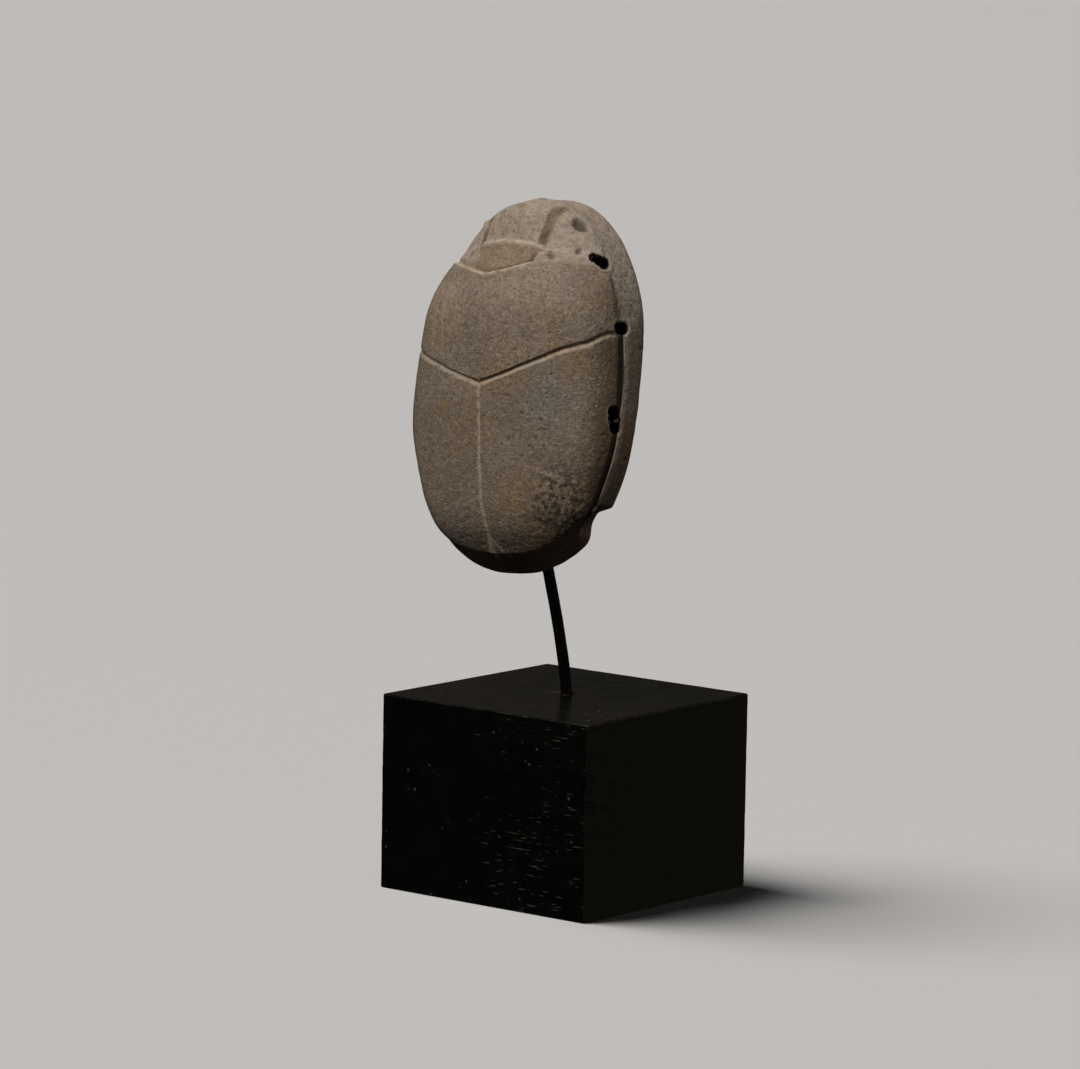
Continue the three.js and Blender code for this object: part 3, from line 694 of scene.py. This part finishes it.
# A painted shadow along the shoulder plate's right edge, between the upper two holes.
edge_line = bump(row - BACK_ROWS + 1, 7)
shade = np.maximum(shade, 0.8 * edge_line * (x > 0) * smooth_step(10, 12, y) * smooth_step(19, 17, y))
shade = np.clip(shade, 0, 1)
pale_head = on_back * smooth_step(0.2, 1.2, neck) * smooth_step(1.2, 0, in_hollow * hollow)
pale_head = np.maximum(pale_head, (1 - on_back) * smooth_step(12, 20, y))
masks = {"dust_and_highlight": dust_and_highlight, "shade": shade, "pale_head": pale_head, "hollow": on_back * in_hollow * hollow,
         "coarse": coarse, "drilled": hole_mask, "groove": groove, "margin_shade": margin_shade,
         "pitted": np.maximum(eye_pits, 0.8 * small_pits)}
start_pole = on_surface(SUTURE_MEET) - (0, 0, SUTURE_DEPTH)
end_pole = rings[-1].mean(axis=0)
local = np.concatenate([rings.reshape(-1, 3), [start_pole, end_pole]])
stone_faces = ring_faces(len(rings), COLUMNS, len(local) - 2, len(local) - 1)
stone_masks = {name: np.append(in_all_rows(mask * np.ones(x.shape)), [0, 0]) for name, mask in masks.items()}
placed = np.clip(local @ stone_axes.T + stone_centre, *(np.array(cad_box) / MM))
scarab = mesh_object("scarab_stone", placed, stone_faces, stone_masks)

# %% [markdown]
# ## Rod
# The rod is a round steel bar, bent by hand and painted black. It is a circle carried along the same line
# that the CAD rod follows, with a slightly uneven coat of paint.

# %% Sweep the rod
ROD_COLUMNS, ROD_ROWS = 40, 150
rise = np.linspace(rod_low[2] - block_high[2], rod_rise, ROD_ROWS)
axis_points = rod_line(rise)
tangent = np.gradient(axis_points, axis=0)
tangent /= np.linalg.norm(tangent, axis=1, keepdims=True)
level = np.array([1.0, 0, 0])
upright = np.cross(tangent, level)
turn = np.arange(ROD_COLUMNS) / ROD_COLUMNS * 2 * np.pi
spokes = np.cos(turn)[None, :, None] * level + np.sin(turn)[None, :, None] * upright[:, None, :]
bar = axis_points[:, None, :] + spokes * ROD_RADIUS
paint_runs = 0.03 * (lattice_noise(bar, 1.6, 51) + 1) + 0.012 * (lattice_noise(bar, 0.5, 52) + 1)
bar -= spokes * paint_runs[..., None]
bar_points = np.concatenate([bar.reshape(-1, 3), axis_points[[0, -1]]])
bar_faces = ring_faces(ROD_ROWS, ROD_COLUMNS, len(bar_points) - 2, len(bar_points) - 1)
rod = mesh_object("support_rod", bar_points, [face[::-1] for face in bar_faces])

# %% [markdown]
# ## Block
# The block was sawn from dark open-grained wood, stained black and rubbed with wax. It is a box of six
# grids that share their edge points. Each point is pushed from an inner box out to a rounded corner, so
# the edges are soft, and a little more is taken off where the corners were knocked.

# %% Rounded, worn block with a drilled top
EDGE_RADIUS = 0.3
HOLE_DEPTH = 3.5
block_size = block_high - block_low
block_middle = (block_low + block_high) / 2


def grid_stops(length, fine_at_centre):
    """Places along an edge of the block: closer at both ends, and at the centre if the rod goes in there."""
    half = length / 2
    stops = [np.linspace(-half, -half + 1.2, 10), np.arange(-half + 1.6, half - 1.6, 0.62),
             np.linspace(half - 1.2, half, 10)]
    if fine_at_centre:
        stops.append(np.arange(-2.0, 2.01, 0.16))
    return np.unique(np.round(np.concatenate(stops), 3))


def block_surface():
    """Points and quads of the six sides of a box, welded along its edges."""
    stops = [grid_stops(length, axis < 2) for axis, length in enumerate(block_size)]
    points, quads, start = [], [], 0
    for fixed in range(3):
        first, second = (fixed + 1) % 3, (fixed + 2) % 3
        for sign in (1, -1):
            a, b = np.meshgrid(stops[first], stops[second], indexing="ij")
            face = np.zeros(a.shape + (3,))
            face[..., first], face[..., second], face[..., fixed] = a, b, sign * block_size[fixed] / 2
            at = start + np.arange(a.size).reshape(a.shape)
            corners = [at[:-1, :-1], at[1:, :-1], at[1:, 1:], at[:-1, 1:]][::sign]
            quads.append(np.stack(corners, axis=-1).reshape(-1, 4))
            points.append(face.reshape(-1, 3))
            start += a.size
    points, quads = np.concatenate(points), np.concatenate(quads)
    _, first_of, welded = np.unique(np.round(points, 3), axis=0, return_index=True, return_inverse=True)
    return points[first_of], welded.reshape(-1)[quads]


points, quads = block_surface()
inner = np.clip(points, -block_size / 2 + EDGE_RADIUS, block_size / 2 - EDGE_RADIUS)
outwards = points - inner
outwards /= np.linalg.norm(outwards, axis=1, keepdims=True)
rounded = inner + outwards * EDGE_RADIUS
edge_nearness = 1 - np.abs(outwards).max(axis=1)
at_edge = smooth_step(0, 0.2, edge_nearness)
knocks = smooth_step(0.35, 0.9, lattice_noise(rounded, 2.3, 61)) * at_edge
saw_ripple = 0.02 * (np.sin(rounded[:, 2] * 4.2) + 1) * (np.abs(outwards[:, 0]) > 0.9)
taken = 0.28 * knocks + 0.05 * at_edge * (lattice_noise(rounded, 0.8, 62) + 1) + saw_ripple
taken += 0.02 * (lattice_noise(rounded, 3.0, 63) + 1)
rounded -= outwards * taken[:, None]
from_rod = np.hypot(rounded[:, 0], rounded[:, 1])
on_top = rounded[:, 2] > block_size[2] / 2 - 0.2
drilled = on_top * smooth_step(SOCKET_RADIUS + 0.12, SOCKET_RADIUS - 0.05, from_rod)
rounded[:, 2] -= HOLE_DEPTH * drilled
glue = on_top * smooth_step(2.6, 1.0, from_rod + 0.9 * lattice_noise(rounded, 1.1, 64)) * (1 - drilled)
across, deep, up = rounded.T
smears = on_top * smooth_step(7.0, 2.0, np.hypot(across, 1.9 * deep))
block_masks = {"worn_edge": at_edge * (0.35 + 0.65 * knocks), "glue": glue, "smears": smears,
               "end_grain": smooth_step(0.7, 0.9, np.abs(outwards[:, 0])),
               "chatter": 0.2 + 0.8 * smooth_step(-4, -20, deep) * smooth_step(-12, 2, up),
               "top_face": smooth_step(0.7, 0.9, outwards[:, 2]),
               "near_front": smooth_step(-14, 14, across) * (0.5 + 0.5 * smooth_step(8, -6, up))}
block = mesh_object("wood_block", rounded + block_middle, quads.tolist(), block_masks)

# %% [markdown]
# ## Finishes
# Every finish is worked out from the object's own coordinates and the masks that the shapes left behind.
# One effect is shared by all three: scattered flecks, which are mineral grains on the stone and dust on
# the black pieces. It is a node group with its own inputs.

# %% Node helpers
def node(tree, kind, settings=None, **inputs):
    """A node with its settings and input values. An input that is itself a socket is linked. i0, i1 and so on
    are inputs by number, and other names are the inputs' own, with _ for a space."""
    made = tree.nodes.new(kind)
    for name, value in (settings or {}).items():
        setattr(made, name, value)
    for name, value in inputs.items():
        numbered = name[0] == "i" and name[1:].isdigit()
        socket = made.inputs[int(name[1:]) if numbered else name.replace("_", " ")]
        if isinstance(value, bpy.types.NodeSocket):
            tree.links.new(value, socket)
        else:
            socket.default_value = value
    return made


def mapped(tree, vector, scale):
    """The vector multiplied by a scale along each axis, which stretches a pattern."""
    return node(tree, "ShaderNodeVectorMath", {"operation": "MULTIPLY"}, i0=vector, i1=scale).outputs[0]


def noise(tree, vector, scale, detail, roughness=0.5):
    """Fractal noise, about 0.5 on average. scale is the number of lumps in a metre."""
    return node(tree, "ShaderNodeTexNoise", Vector=vector, Scale=scale, Detail=detail,
                Roughness=roughness).outputs["Fac"]


def ramp(tree, value, low, high):
    """0 where value is below low and 1 above high, with a smooth step in between."""
    return node(tree, "ShaderNodeMapRange", {"interpolation_type": "SMOOTHSTEP"}, Value=value, From_Min=low,
                From_Max=high).outputs["Result"]


def mottle(tree, vector, scale, detail, low, high, roughness=0.5):
    """Noise with its contrast raised by a ramp."""
    return ramp(tree, noise(tree, vector, scale, detail, roughness), low, high)


def maths(tree, operation, first, second):
    """One sum on two values or masks, clamped to 0 to 1."""
    settings = {"operation": operation, "use_clamp": True}
    return node(tree, "ShaderNodeMath", settings, i0=first, i1=second).outputs[0]


def times(tree, first, second):
    """Two values or masks multiplied."""
    return maths(tree, "MULTIPLY", first, second)


def blend(tree, amount, first, second):
    """Two colours mixed by an amount from 0 to 1."""
    return node(tree, "ShaderNodeMix", {"data_type": "RGBA"}, i0=amount, i6=first, i7=second).outputs[2]


def rgb(red, green, blue):
    """A colour from its sRGB values, 0 to 255, in the linear numbers that a shader takes."""
    part = np.array([red, green, blue]) / 255
    linear = np.where(part <= 0.04045, part / 12.92, ((part + 0.055) / 1.055) ** 2.4)
    return (*linear.tolist(), 1.0)


def layered(tree, colour, layers):
    """A colour under layers laid on in turn: each a mask, its strength and the layer's own sRGB colour."""
    for mask, strength, tone in layers:
        colour = blend(tree, times(tree, mask, strength), colour, rgb(*tone))
    return colour


# %% The fleck group, and the start and end of a material
def fleck_group():
    """Flecks: cells of a Voronoi pattern whose random value passes a limit, kept round by their distance."""
    group = bpy.data.node_groups.new("Scattered flecks", "ShaderNodeTree")
    for name, kind in (("Vector", "Vector"), ("Number in a metre", "Float"), ("Share covered", "Float")):
        group.interface.new_socket(name, in_out="INPUT", socket_type="NodeSocket" + kind)
    group.interface.new_socket("Flecks", in_out="OUTPUT", socket_type="NodeSocketFloat")
    given = group.nodes.new("NodeGroupInput").outputs
    end = group.nodes.new("NodeGroupOutput")
    cells = node(group, "ShaderNodeTexVoronoi", Vector=given["Vector"], Scale=given["Number in a metre"])
    picked = node(group, "ShaderNodeSeparateColor", Color=cells.outputs["Color"]).outputs[0]
    chosen = node(group, "ShaderNodeMath", {"operation": "LESS_THAN"}, i0=picked, i1=given["Share covered"])
    disc = ramp(group, cells.outputs["Distance"], 0.42, 0.2)
    group.links.new(times(group, chosen.outputs[0], disc), end.inputs["Flecks"])
    return group


flecks = fleck_group()
print("fleck group:", len(flecks.nodes), "nodes")


def fleck_mask(tree, vector, number, share):
    """The fleck group placed in a material, with its own values."""
    return node(tree, "ShaderNodeGroup", {"node_tree": flecks}, Vector=vector, Number_in_a_metre=number,
                Share_covered=share).outputs["Flecks"]


def new_material(name, mask_names=()):
    """A material with only a Principled BSDF: its tree, the object's own coordinates and the mesh's masks."""
    material = bpy.data.materials.new(name)
    material.use_nodes = True
    tree = material.node_tree
    tree.nodes.clear()
    shader = tree.nodes.new("ShaderNodeBsdfPrincipled")
    out = tree.nodes.new("ShaderNodeOutputMaterial")
    tree.links.new(shader.outputs[0], out.inputs["Surface"])
    coordinates = tree.nodes.new("ShaderNodeTexCoord").outputs["Object"]
    masks = {mask: node(tree, "ShaderNodeAttribute", {"attribute_name": mask}).outputs["Fac"]
             for mask in mask_names}
    return material, tree, shader, coordinates, masks


def finish(tree, shader, colour, roughness, height, strength, distance):
    """Links a colour, a roughness and a bump to the shader."""
    tree.links.new(colour, shader.inputs["Base Color"])
    tree.links.new(roughness, shader.inputs["Roughness"])
    relief = node(tree, "ShaderNodeBump", Strength=strength, Distance=distance, Height=height)
    tree.links.new(relief.outputs[0], shader.inputs["Normal"])


# %% [markdown]
# ### Stone
# A hard, fine-grained stone: taupe grey, mottled with ochre stains and blue-grey patches, speckled all
# over, and paler over the head. Chalky dust lies in the cuts, painted highlights on their lit edges, and
# painted shade darkens the grooves, creases, pits and holes and the tail's wall.

# %% Stone finish
# Soft patches on the stone: centre, radius, strength and colour. The last two are painted light: a painted
# shadow on the tail's wall, and a warm painted reflection at its right end.
TONE_AND_LIGHT_PATCHES = [((4, 9, 17), 14, 0.85, (179, 161, 143)), ((-10, 8, 15), 9, 0.7, (190, 164, 140)),
                 ((11, -4, 13), 9, 0.8, (147, 141, 136)), ((16, 8, 11), 6, 0.7, (182, 170, 158)),
                 ((5.5, -21, 10), 7, 0.75, (172, 142, 102)), ((14.5, -22, 7), 7, 0.85, (100, 87, 76)),
                 ((9, -27, 7), 7, 0.6, (120, 98, 74)), ((21, 18, 3), 12, 0.85, (190, 178, 160)),
                 ((21, -12, 2), 13, 0.75, (132, 100, 70)), ((2, -33, 3), 11, 0.8, (92, 62, 40)),
                 ((16, -26, 2), 5, 0.85, (160, 98, 54))]
STAINS = [((0.4, 27.9, 13), 1.5), ((6.3, 29.2, 9), 1.6), ((-7, 26, 12), 2.2), ((-11.9, 18.3, 9), 0.8)]
CRUST_AND_GLINT_SPOTS = [((19.8, -6.5, 4.9), 1.6), ((13.2, 20.3, 8.1), 0.9)]  # bluish-white spots in two holes: pale crust with painted glints in the lower one, a painted glint in the upper one


def patch(tree, coordinates, centre, radius):
    """A soft round patch about a point of the stone, broken up by noise: 1 at its centre."""
    place = (np.array(centre) @ stone_axes.T + stone_centre) * MM
    away = node(tree, "ShaderNodeVectorMath", {"operation": "DISTANCE"}, i0=coordinates,
                i1=tuple(place)).outputs["Value"]
    uneven = node(tree, "ShaderNodeMath", {"operation": "MULTIPLY_ADD"}, i0=noise(tree, coordinates, 160, 3),
                  i1=radius * MM, i2=away).outputs[0]
    return ramp(tree, uneven, 1.45 * radius * MM, 0.55 * radius * MM)


def stone_material():
    """Mottled stone: two greys, then layers of stains, grains, worn and dusty places, painted highlights, and
    painted shade and shadow.
    """
    material, tree, shader, coordinates, mask = new_material("mottled_stone", stone_masks)
    grainy = mottle(tree, coordinates, 900, 3, 0.35, 0.66, 0.7)
    fine = mottle(tree, coordinates, 2600, 2, 0.3, 0.7, 0.6)
    squeezed = mapped(tree, coordinates, (1.1, 1, 1.1))
    brushed = mapped(tree, coordinates, (1.0, 0.08, 0.08))
    coarse_spots = times(tree, mask["coarse"], mottle(tree, coordinates, 1100, 3, 0.46, 0.58))
    polished = times(tree, patch(tree, coordinates, (-9, 9, 15), 9),
                     mottle(tree, brushed, 1500, 1, 0.5, 0.62))
    chalk_and_highlight = times(tree, mask["dust_and_highlight"], mottle(tree, coordinates, 700, 3, 0.25, 0.5))
    in_holes = times(tree, mask["drilled"], mottle(tree, coordinates, 1500, 2, 0.48, 0.56))
    cloudy = mottle(tree, coordinates, 130, 4, 0.38, 0.64, 0.6)
    colour = layered(tree, blend(tree, cloudy, rgb(150, 136, 120), rgb(166, 149, 130)), [
        (mottle(tree, coordinates, 75, 4, 0.5, 0.66, 0.65), 0.8, (163, 135, 102)),
        *((patch(tree, coordinates, centre, radius), strength, tone)
          for centre, radius, strength, tone in TONE_AND_LIGHT_PATCHES),
        (mask["pale_head"], 0.75, (202, 185, 171)),
        (mask["hollow"], 0.6, (158, 130, 102)),
        # painted shade towards the wing cases' side edges
        (mask["margin_shade"], 0.7, (122, 94, 68)),
        *((patch(tree, coordinates, centre, radius), 0.75, (132, 98, 68)) for centre, radius in STAINS),
        (grainy, 0.45, (122, 106, 90)),
        (mottle(tree, coordinates, 1700, 2, 0.54, 0.7, 0.6), 0.45, (206, 194, 178)),
        (mottle(tree, squeezed, 1900, 2, 0.53, 0.7, 0.6), 0.62, (88, 73, 58)),
        (fleck_mask(tree, coordinates, 1500, 0.07), 0.35, (214, 204, 188)),
        (coarse_spots, 0.8, (60, 49, 40)),
        (polished, 0.35, (196, 182, 162)),
        # painted shade in cuts, creases, pits and holes
        (mask["shade"], 0.8, (88, 68, 46)),
        # chalky dust, and painted highlights on lit edges
        (chalk_and_highlight, 1, (228, 211, 188)),
        # grey-green pits, darkened with painted shade
        (mask["pitted"], 0.85, (84, 82, 68)),
        # painted shade in the flank's groove
        (mask["groove"], 0.85, (36, 26, 18)),
        # near-black hole interiors: painted shade
        (mask["drilled"], 1, (14, 10, 8)),
        # bluish-white spots: pale crust and painted glints in one hole, a painted glint in the other
        *((times(tree, patch(tree, coordinates, centre, radius), in_holes), 1, (196, 202, 210))
          for centre, radius in CRUST_AND_GLINT_SPOTS)])
    roughness = node(tree, "ShaderNodeMapRange", Value=fine, To_Min=0.62, To_Max=0.9).outputs[0]
    height = maths(tree, "ADD", times(tree, fine, 0.4), times(tree, grainy, 0.5))
    finish(tree, shader, colour, roughness, height, 0.7, 0.00014)
    shader.inputs["Specular IOR Level"].default_value = 0.35
    return material


scarab.data.materials.append(stone_material())
print("stone finish:", len(scarab.data.materials[0].node_tree.nodes), "nodes")

# %% [markdown]
# ### Black paint and blackened wood
# The rod's paint is satin, with a little dust. The block's stain is nearly black and waxed. Long pores
# run with the grain, along X, on the two long sides, and stay pale with old wax and dust, most of them
# near one corner. The two sawn ends are browner, with a faint ripple left by the blade. The top is rubbed
# to a higher gloss, so that the rod is mirrored in it, and its colour is lighter, a painted sheen. There
# are smears and drops of glue about the rod.

# %% Rod and block finishes
def paint_material():
    """Satin black paint, a little uneven and dusty."""
    material, tree, shader, coordinates, _ = new_material("black_paint")
    uneven = noise(tree, coordinates, 600, 3)
    colour = blend(tree, ramp(tree, uneven, 0.4, 0.7), rgb(10, 8, 7), rgb(24, 20, 17))
    colour = layered(tree, colour, [(fleck_mask(tree, coordinates, 1500, 0.04), 0.5, (96, 88, 78))])
    roughness = node(tree, "ShaderNodeMapRange", Value=uneven, To_Min=0.32, To_Max=0.55).outputs[0]
    finish(tree, shader, colour, roughness, noise(tree, coordinates, 1800, 2), 0.3, 0.00008)
    return material


def wood_material():
    """Black stain on open-grained wood, with pale pores, a saw's ripple, worn edges, smears and glue."""
    material, tree, shader, coordinates, mask = new_material("blackened_wood", block_masks)
    long_side = maths(tree, "SUBTRACT", 1.0, maths(tree, "ADD", mask["end_grain"], mask["top_face"]))
    streaks = noise(tree, mapped(tree, coordinates, (0.06, 1, 1)), 500, 3)
    cloudy = noise(tree, coordinates, 260, 3)
    crowded = maths(tree, "ADD", times(tree, cloudy, 0.75), times(tree, mask["near_front"], 0.3))
    pores = mottle(tree, mapped(tree, coordinates, (0.11, 1.0, 1.0)), 3600, 1, 0.66, 0.74)
    pores = times(tree, pores, ramp(tree, crowded, 0.45, 0.6))
    ripple = mottle(tree, mapped(tree, coordinates, (1, 0.35, 1)), 900, 2, 0.45, 0.65)
    ripple = times(tree, times(tree, ripple, mask["chatter"]), mask["end_grain"])
    rubbed_edge = times(tree, mask["worn_edge"], mottle(tree, coordinates, 1200, 3, 0.48, 0.66))
    wiped = mottle(tree, mapped(tree, coordinates, (0.4, 1, 1)), 700, 3, 0.5, 0.68)
    drops = times(tree, mask["glue"], mottle(tree, coordinates, 800, 2, 0.5, 0.62))
    colour = layered(tree, blend(tree, ramp(tree, streaks, 0.35, 0.7), rgb(3, 2, 1), rgb(10, 8, 6)), [
        (mask["end_grain"], 1, (43, 40, 27)),
        # a lighter top: painted sheen
        (mask["top_face"], 1, (23, 21, 19)),
        (times(tree, pores, long_side), 1, (104, 98, 88)),
        (ripple, 0.75, (16, 14, 11)),
        (fleck_mask(tree, coordinates, 1300, 0.012), 0.6, (120, 114, 104)),
        (rubbed_edge, 0.7, (88, 82, 74)),
        (times(tree, mask["smears"], wiped), 0.6, (112, 106, 100)),
        (drops, 1, (190, 150, 100))])
    gloss = node(tree, "ShaderNodeMapRange", Value=cloudy, From_Min=0.3, From_Max=0.7, To_Min=0.24,
                 To_Max=0.42)
    roughness = maths(tree, "SUBTRACT", gloss.outputs[0], times(tree, mask["top_face"], 0.11))
    depth = maths(tree, "SUBTRACT", times(tree, streaks, 0.3), times(tree, pores, 0.4))
    finish(tree, shader, colour, roughness, maths(tree, "ADD", depth, ripple), 0.3, 0.00008)
    return material


rod.data.materials.append(paint_material())
block.data.materials.append(wood_material())

PIECES = [(scarab, "scarab", "stone"), (rod, "rod", "rod_paint"), (block, "block", "black_lacquer")]
for piece, cad_node, slot in PIECES:
    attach(piece, "root")
    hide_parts(cad_node)
print("pieces:", [piece.name for piece, _, _ in PIECES])

# %% [markdown]
# ## Studio
# A pale floor without an edge, and four soft lights that reach only the object: a large key light above
# and to the left, a weaker one at the right, a faint fill, and one behind, so that the back and the
# underside can be read. The floor has a light of its own, so that it stays pale while the object keeps
# its dark underside. The world is pale for the camera and nearly black as a light, a little lighter where
# a glossy face mirrors what is behind the object.

# %% Floor and lights
def studio_floor():
    """A wide pale square that doesn't light the object or show in its gloss."""
    size = 6.0
    corners = [(-size, -size, 0), (size, -size, 0), (size, size, 0), (-size, size, 0)]
    mesh = bpy.data.meshes.new("floor")
    mesh.from_pydata(corners, [], [(0, 1, 2, 3)])
    floor = bpy.data.objects.new("floor", mesh)
    bpy.context.scene.collection.objects.link(floor)
    material, _, shader, _, _ = new_material("pale_floor")
    shader.inputs["Base Color"].default_value = (0.62, 0.6, 0.58, 1)
    shader.inputs["Roughness"].default_value = 0.8
    mesh.materials.append(material)
    floor.visible_diffuse = False
    floor.visible_glossy = False
    return floor


def add_light(name, kind, power, place, target, lit):
    """A light at a place, in millimetres, facing a target, which reaches only the given objects."""
    data = bpy.data.lights.new(name, kind)
    data.energy = power
    lamp = bpy.data.objects.new(name, data)
    bpy.context.scene.collection.objects.link(lamp)
    back = np.array(place, float) - np.array(target, float)
    back /= np.linalg.norm(back)
    right = np.cross([0, 0, 1.0], back)
    right /= np.linalg.norm(right)
    axes = np.stack([right, np.cross(back, right), back], axis=1)
    lamp.matrix_world = Matrix.LocRotScale(np.array(place) * MM, Matrix(axes.tolist()), None)
    receivers = bpy.data.collections.new(name + "_lights")
    for piece in lit:
        receivers.objects.link(piece)
    lamp.light_linking.receiver_collection = receivers
    return lamp


def area_light(name, power, size, away, distance, colour):
    """A square soft light on the object, at a distance from the stone. away is its direction as the camera
    sees it: right, up and towards the camera."""
    direction = sum(part * axis for part, axis in zip(away, (level_right, level_up, towards_camera)))
    direction /= np.linalg.norm(direction)
    place = stone_centre + direction * distance
    lamp = add_light(name, "AREA", power, place, stone_centre, [scarab, rod, block])
    lamp.data.size, lamp.data.color = size, colour
    return lamp


floor = studio_floor()
floor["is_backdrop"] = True
area_light("key", 2.6, 0.34, (-0.41, 0.755, 0.513), 620, (1.0, 0.965, 0.91))
area_light("side", 0.9, 0.5, (0.55, 0.75, 0.35), 900, (1.0, 0.96, 0.92))
area_light("fill", 0.16, 0.6, (0.9, 0.25, 0.5), 900, (0.9, 0.94, 1.0))
behind = area_light("behind", 2.4, 0.6, (0.2, 0.45, -0.9), 900, (1.0, 0.98, 0.96))
behind.visible_glossy = False
sun = add_light("floor_light", "SUN", 3.0, (-400, -250, 900), (0, 0, 0), [floor])
sun.data.angle = math.radians(35)

# %% World
world = bpy.data.worlds.new("studio")
bpy.context.scene.world = world
world.use_nodes = True
sky = world.node_tree
ray = sky.nodes.new("ShaderNodeLightPath").outputs
around = sky.nodes.new("ShaderNodeTexCoord").outputs["Generated"]
direction = node(sky, "ShaderNodeSeparateXYZ", Vector=around)
mirrored = times(sky, ray["Is Glossy Ray"], ramp(sky, direction.outputs[1], -0.2, 0.5))
unseen = blend(sky, mirrored, (0.014, 0.0135, 0.0135, 1), (0.03, 0.027, 0.0235, 1))
shown = blend(sky, ray["Is Camera Ray"], unseen, (0.6, 0.585, 0.57, 1))
sky.links.new(shown, sky.nodes["Background"].inputs["Color"])
bpy.context.scene.view_settings.view_transform = "Standard"
print("world:", len(sky.nodes), "nodes")

# %% [markdown]
# ## Sizes and the end
# The visual model must stay inside the CAD box, so the difference of the two boxes is printed.

# %% Write the sizes and finish
bpy.context.view_layer.update()
visual_box = [list(corner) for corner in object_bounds()]
difference = (np.array(visual_box) - np.array(cad_box)) / MM
print("visual box minus CAD box, mm:", np.round(difference, 2).tolist())
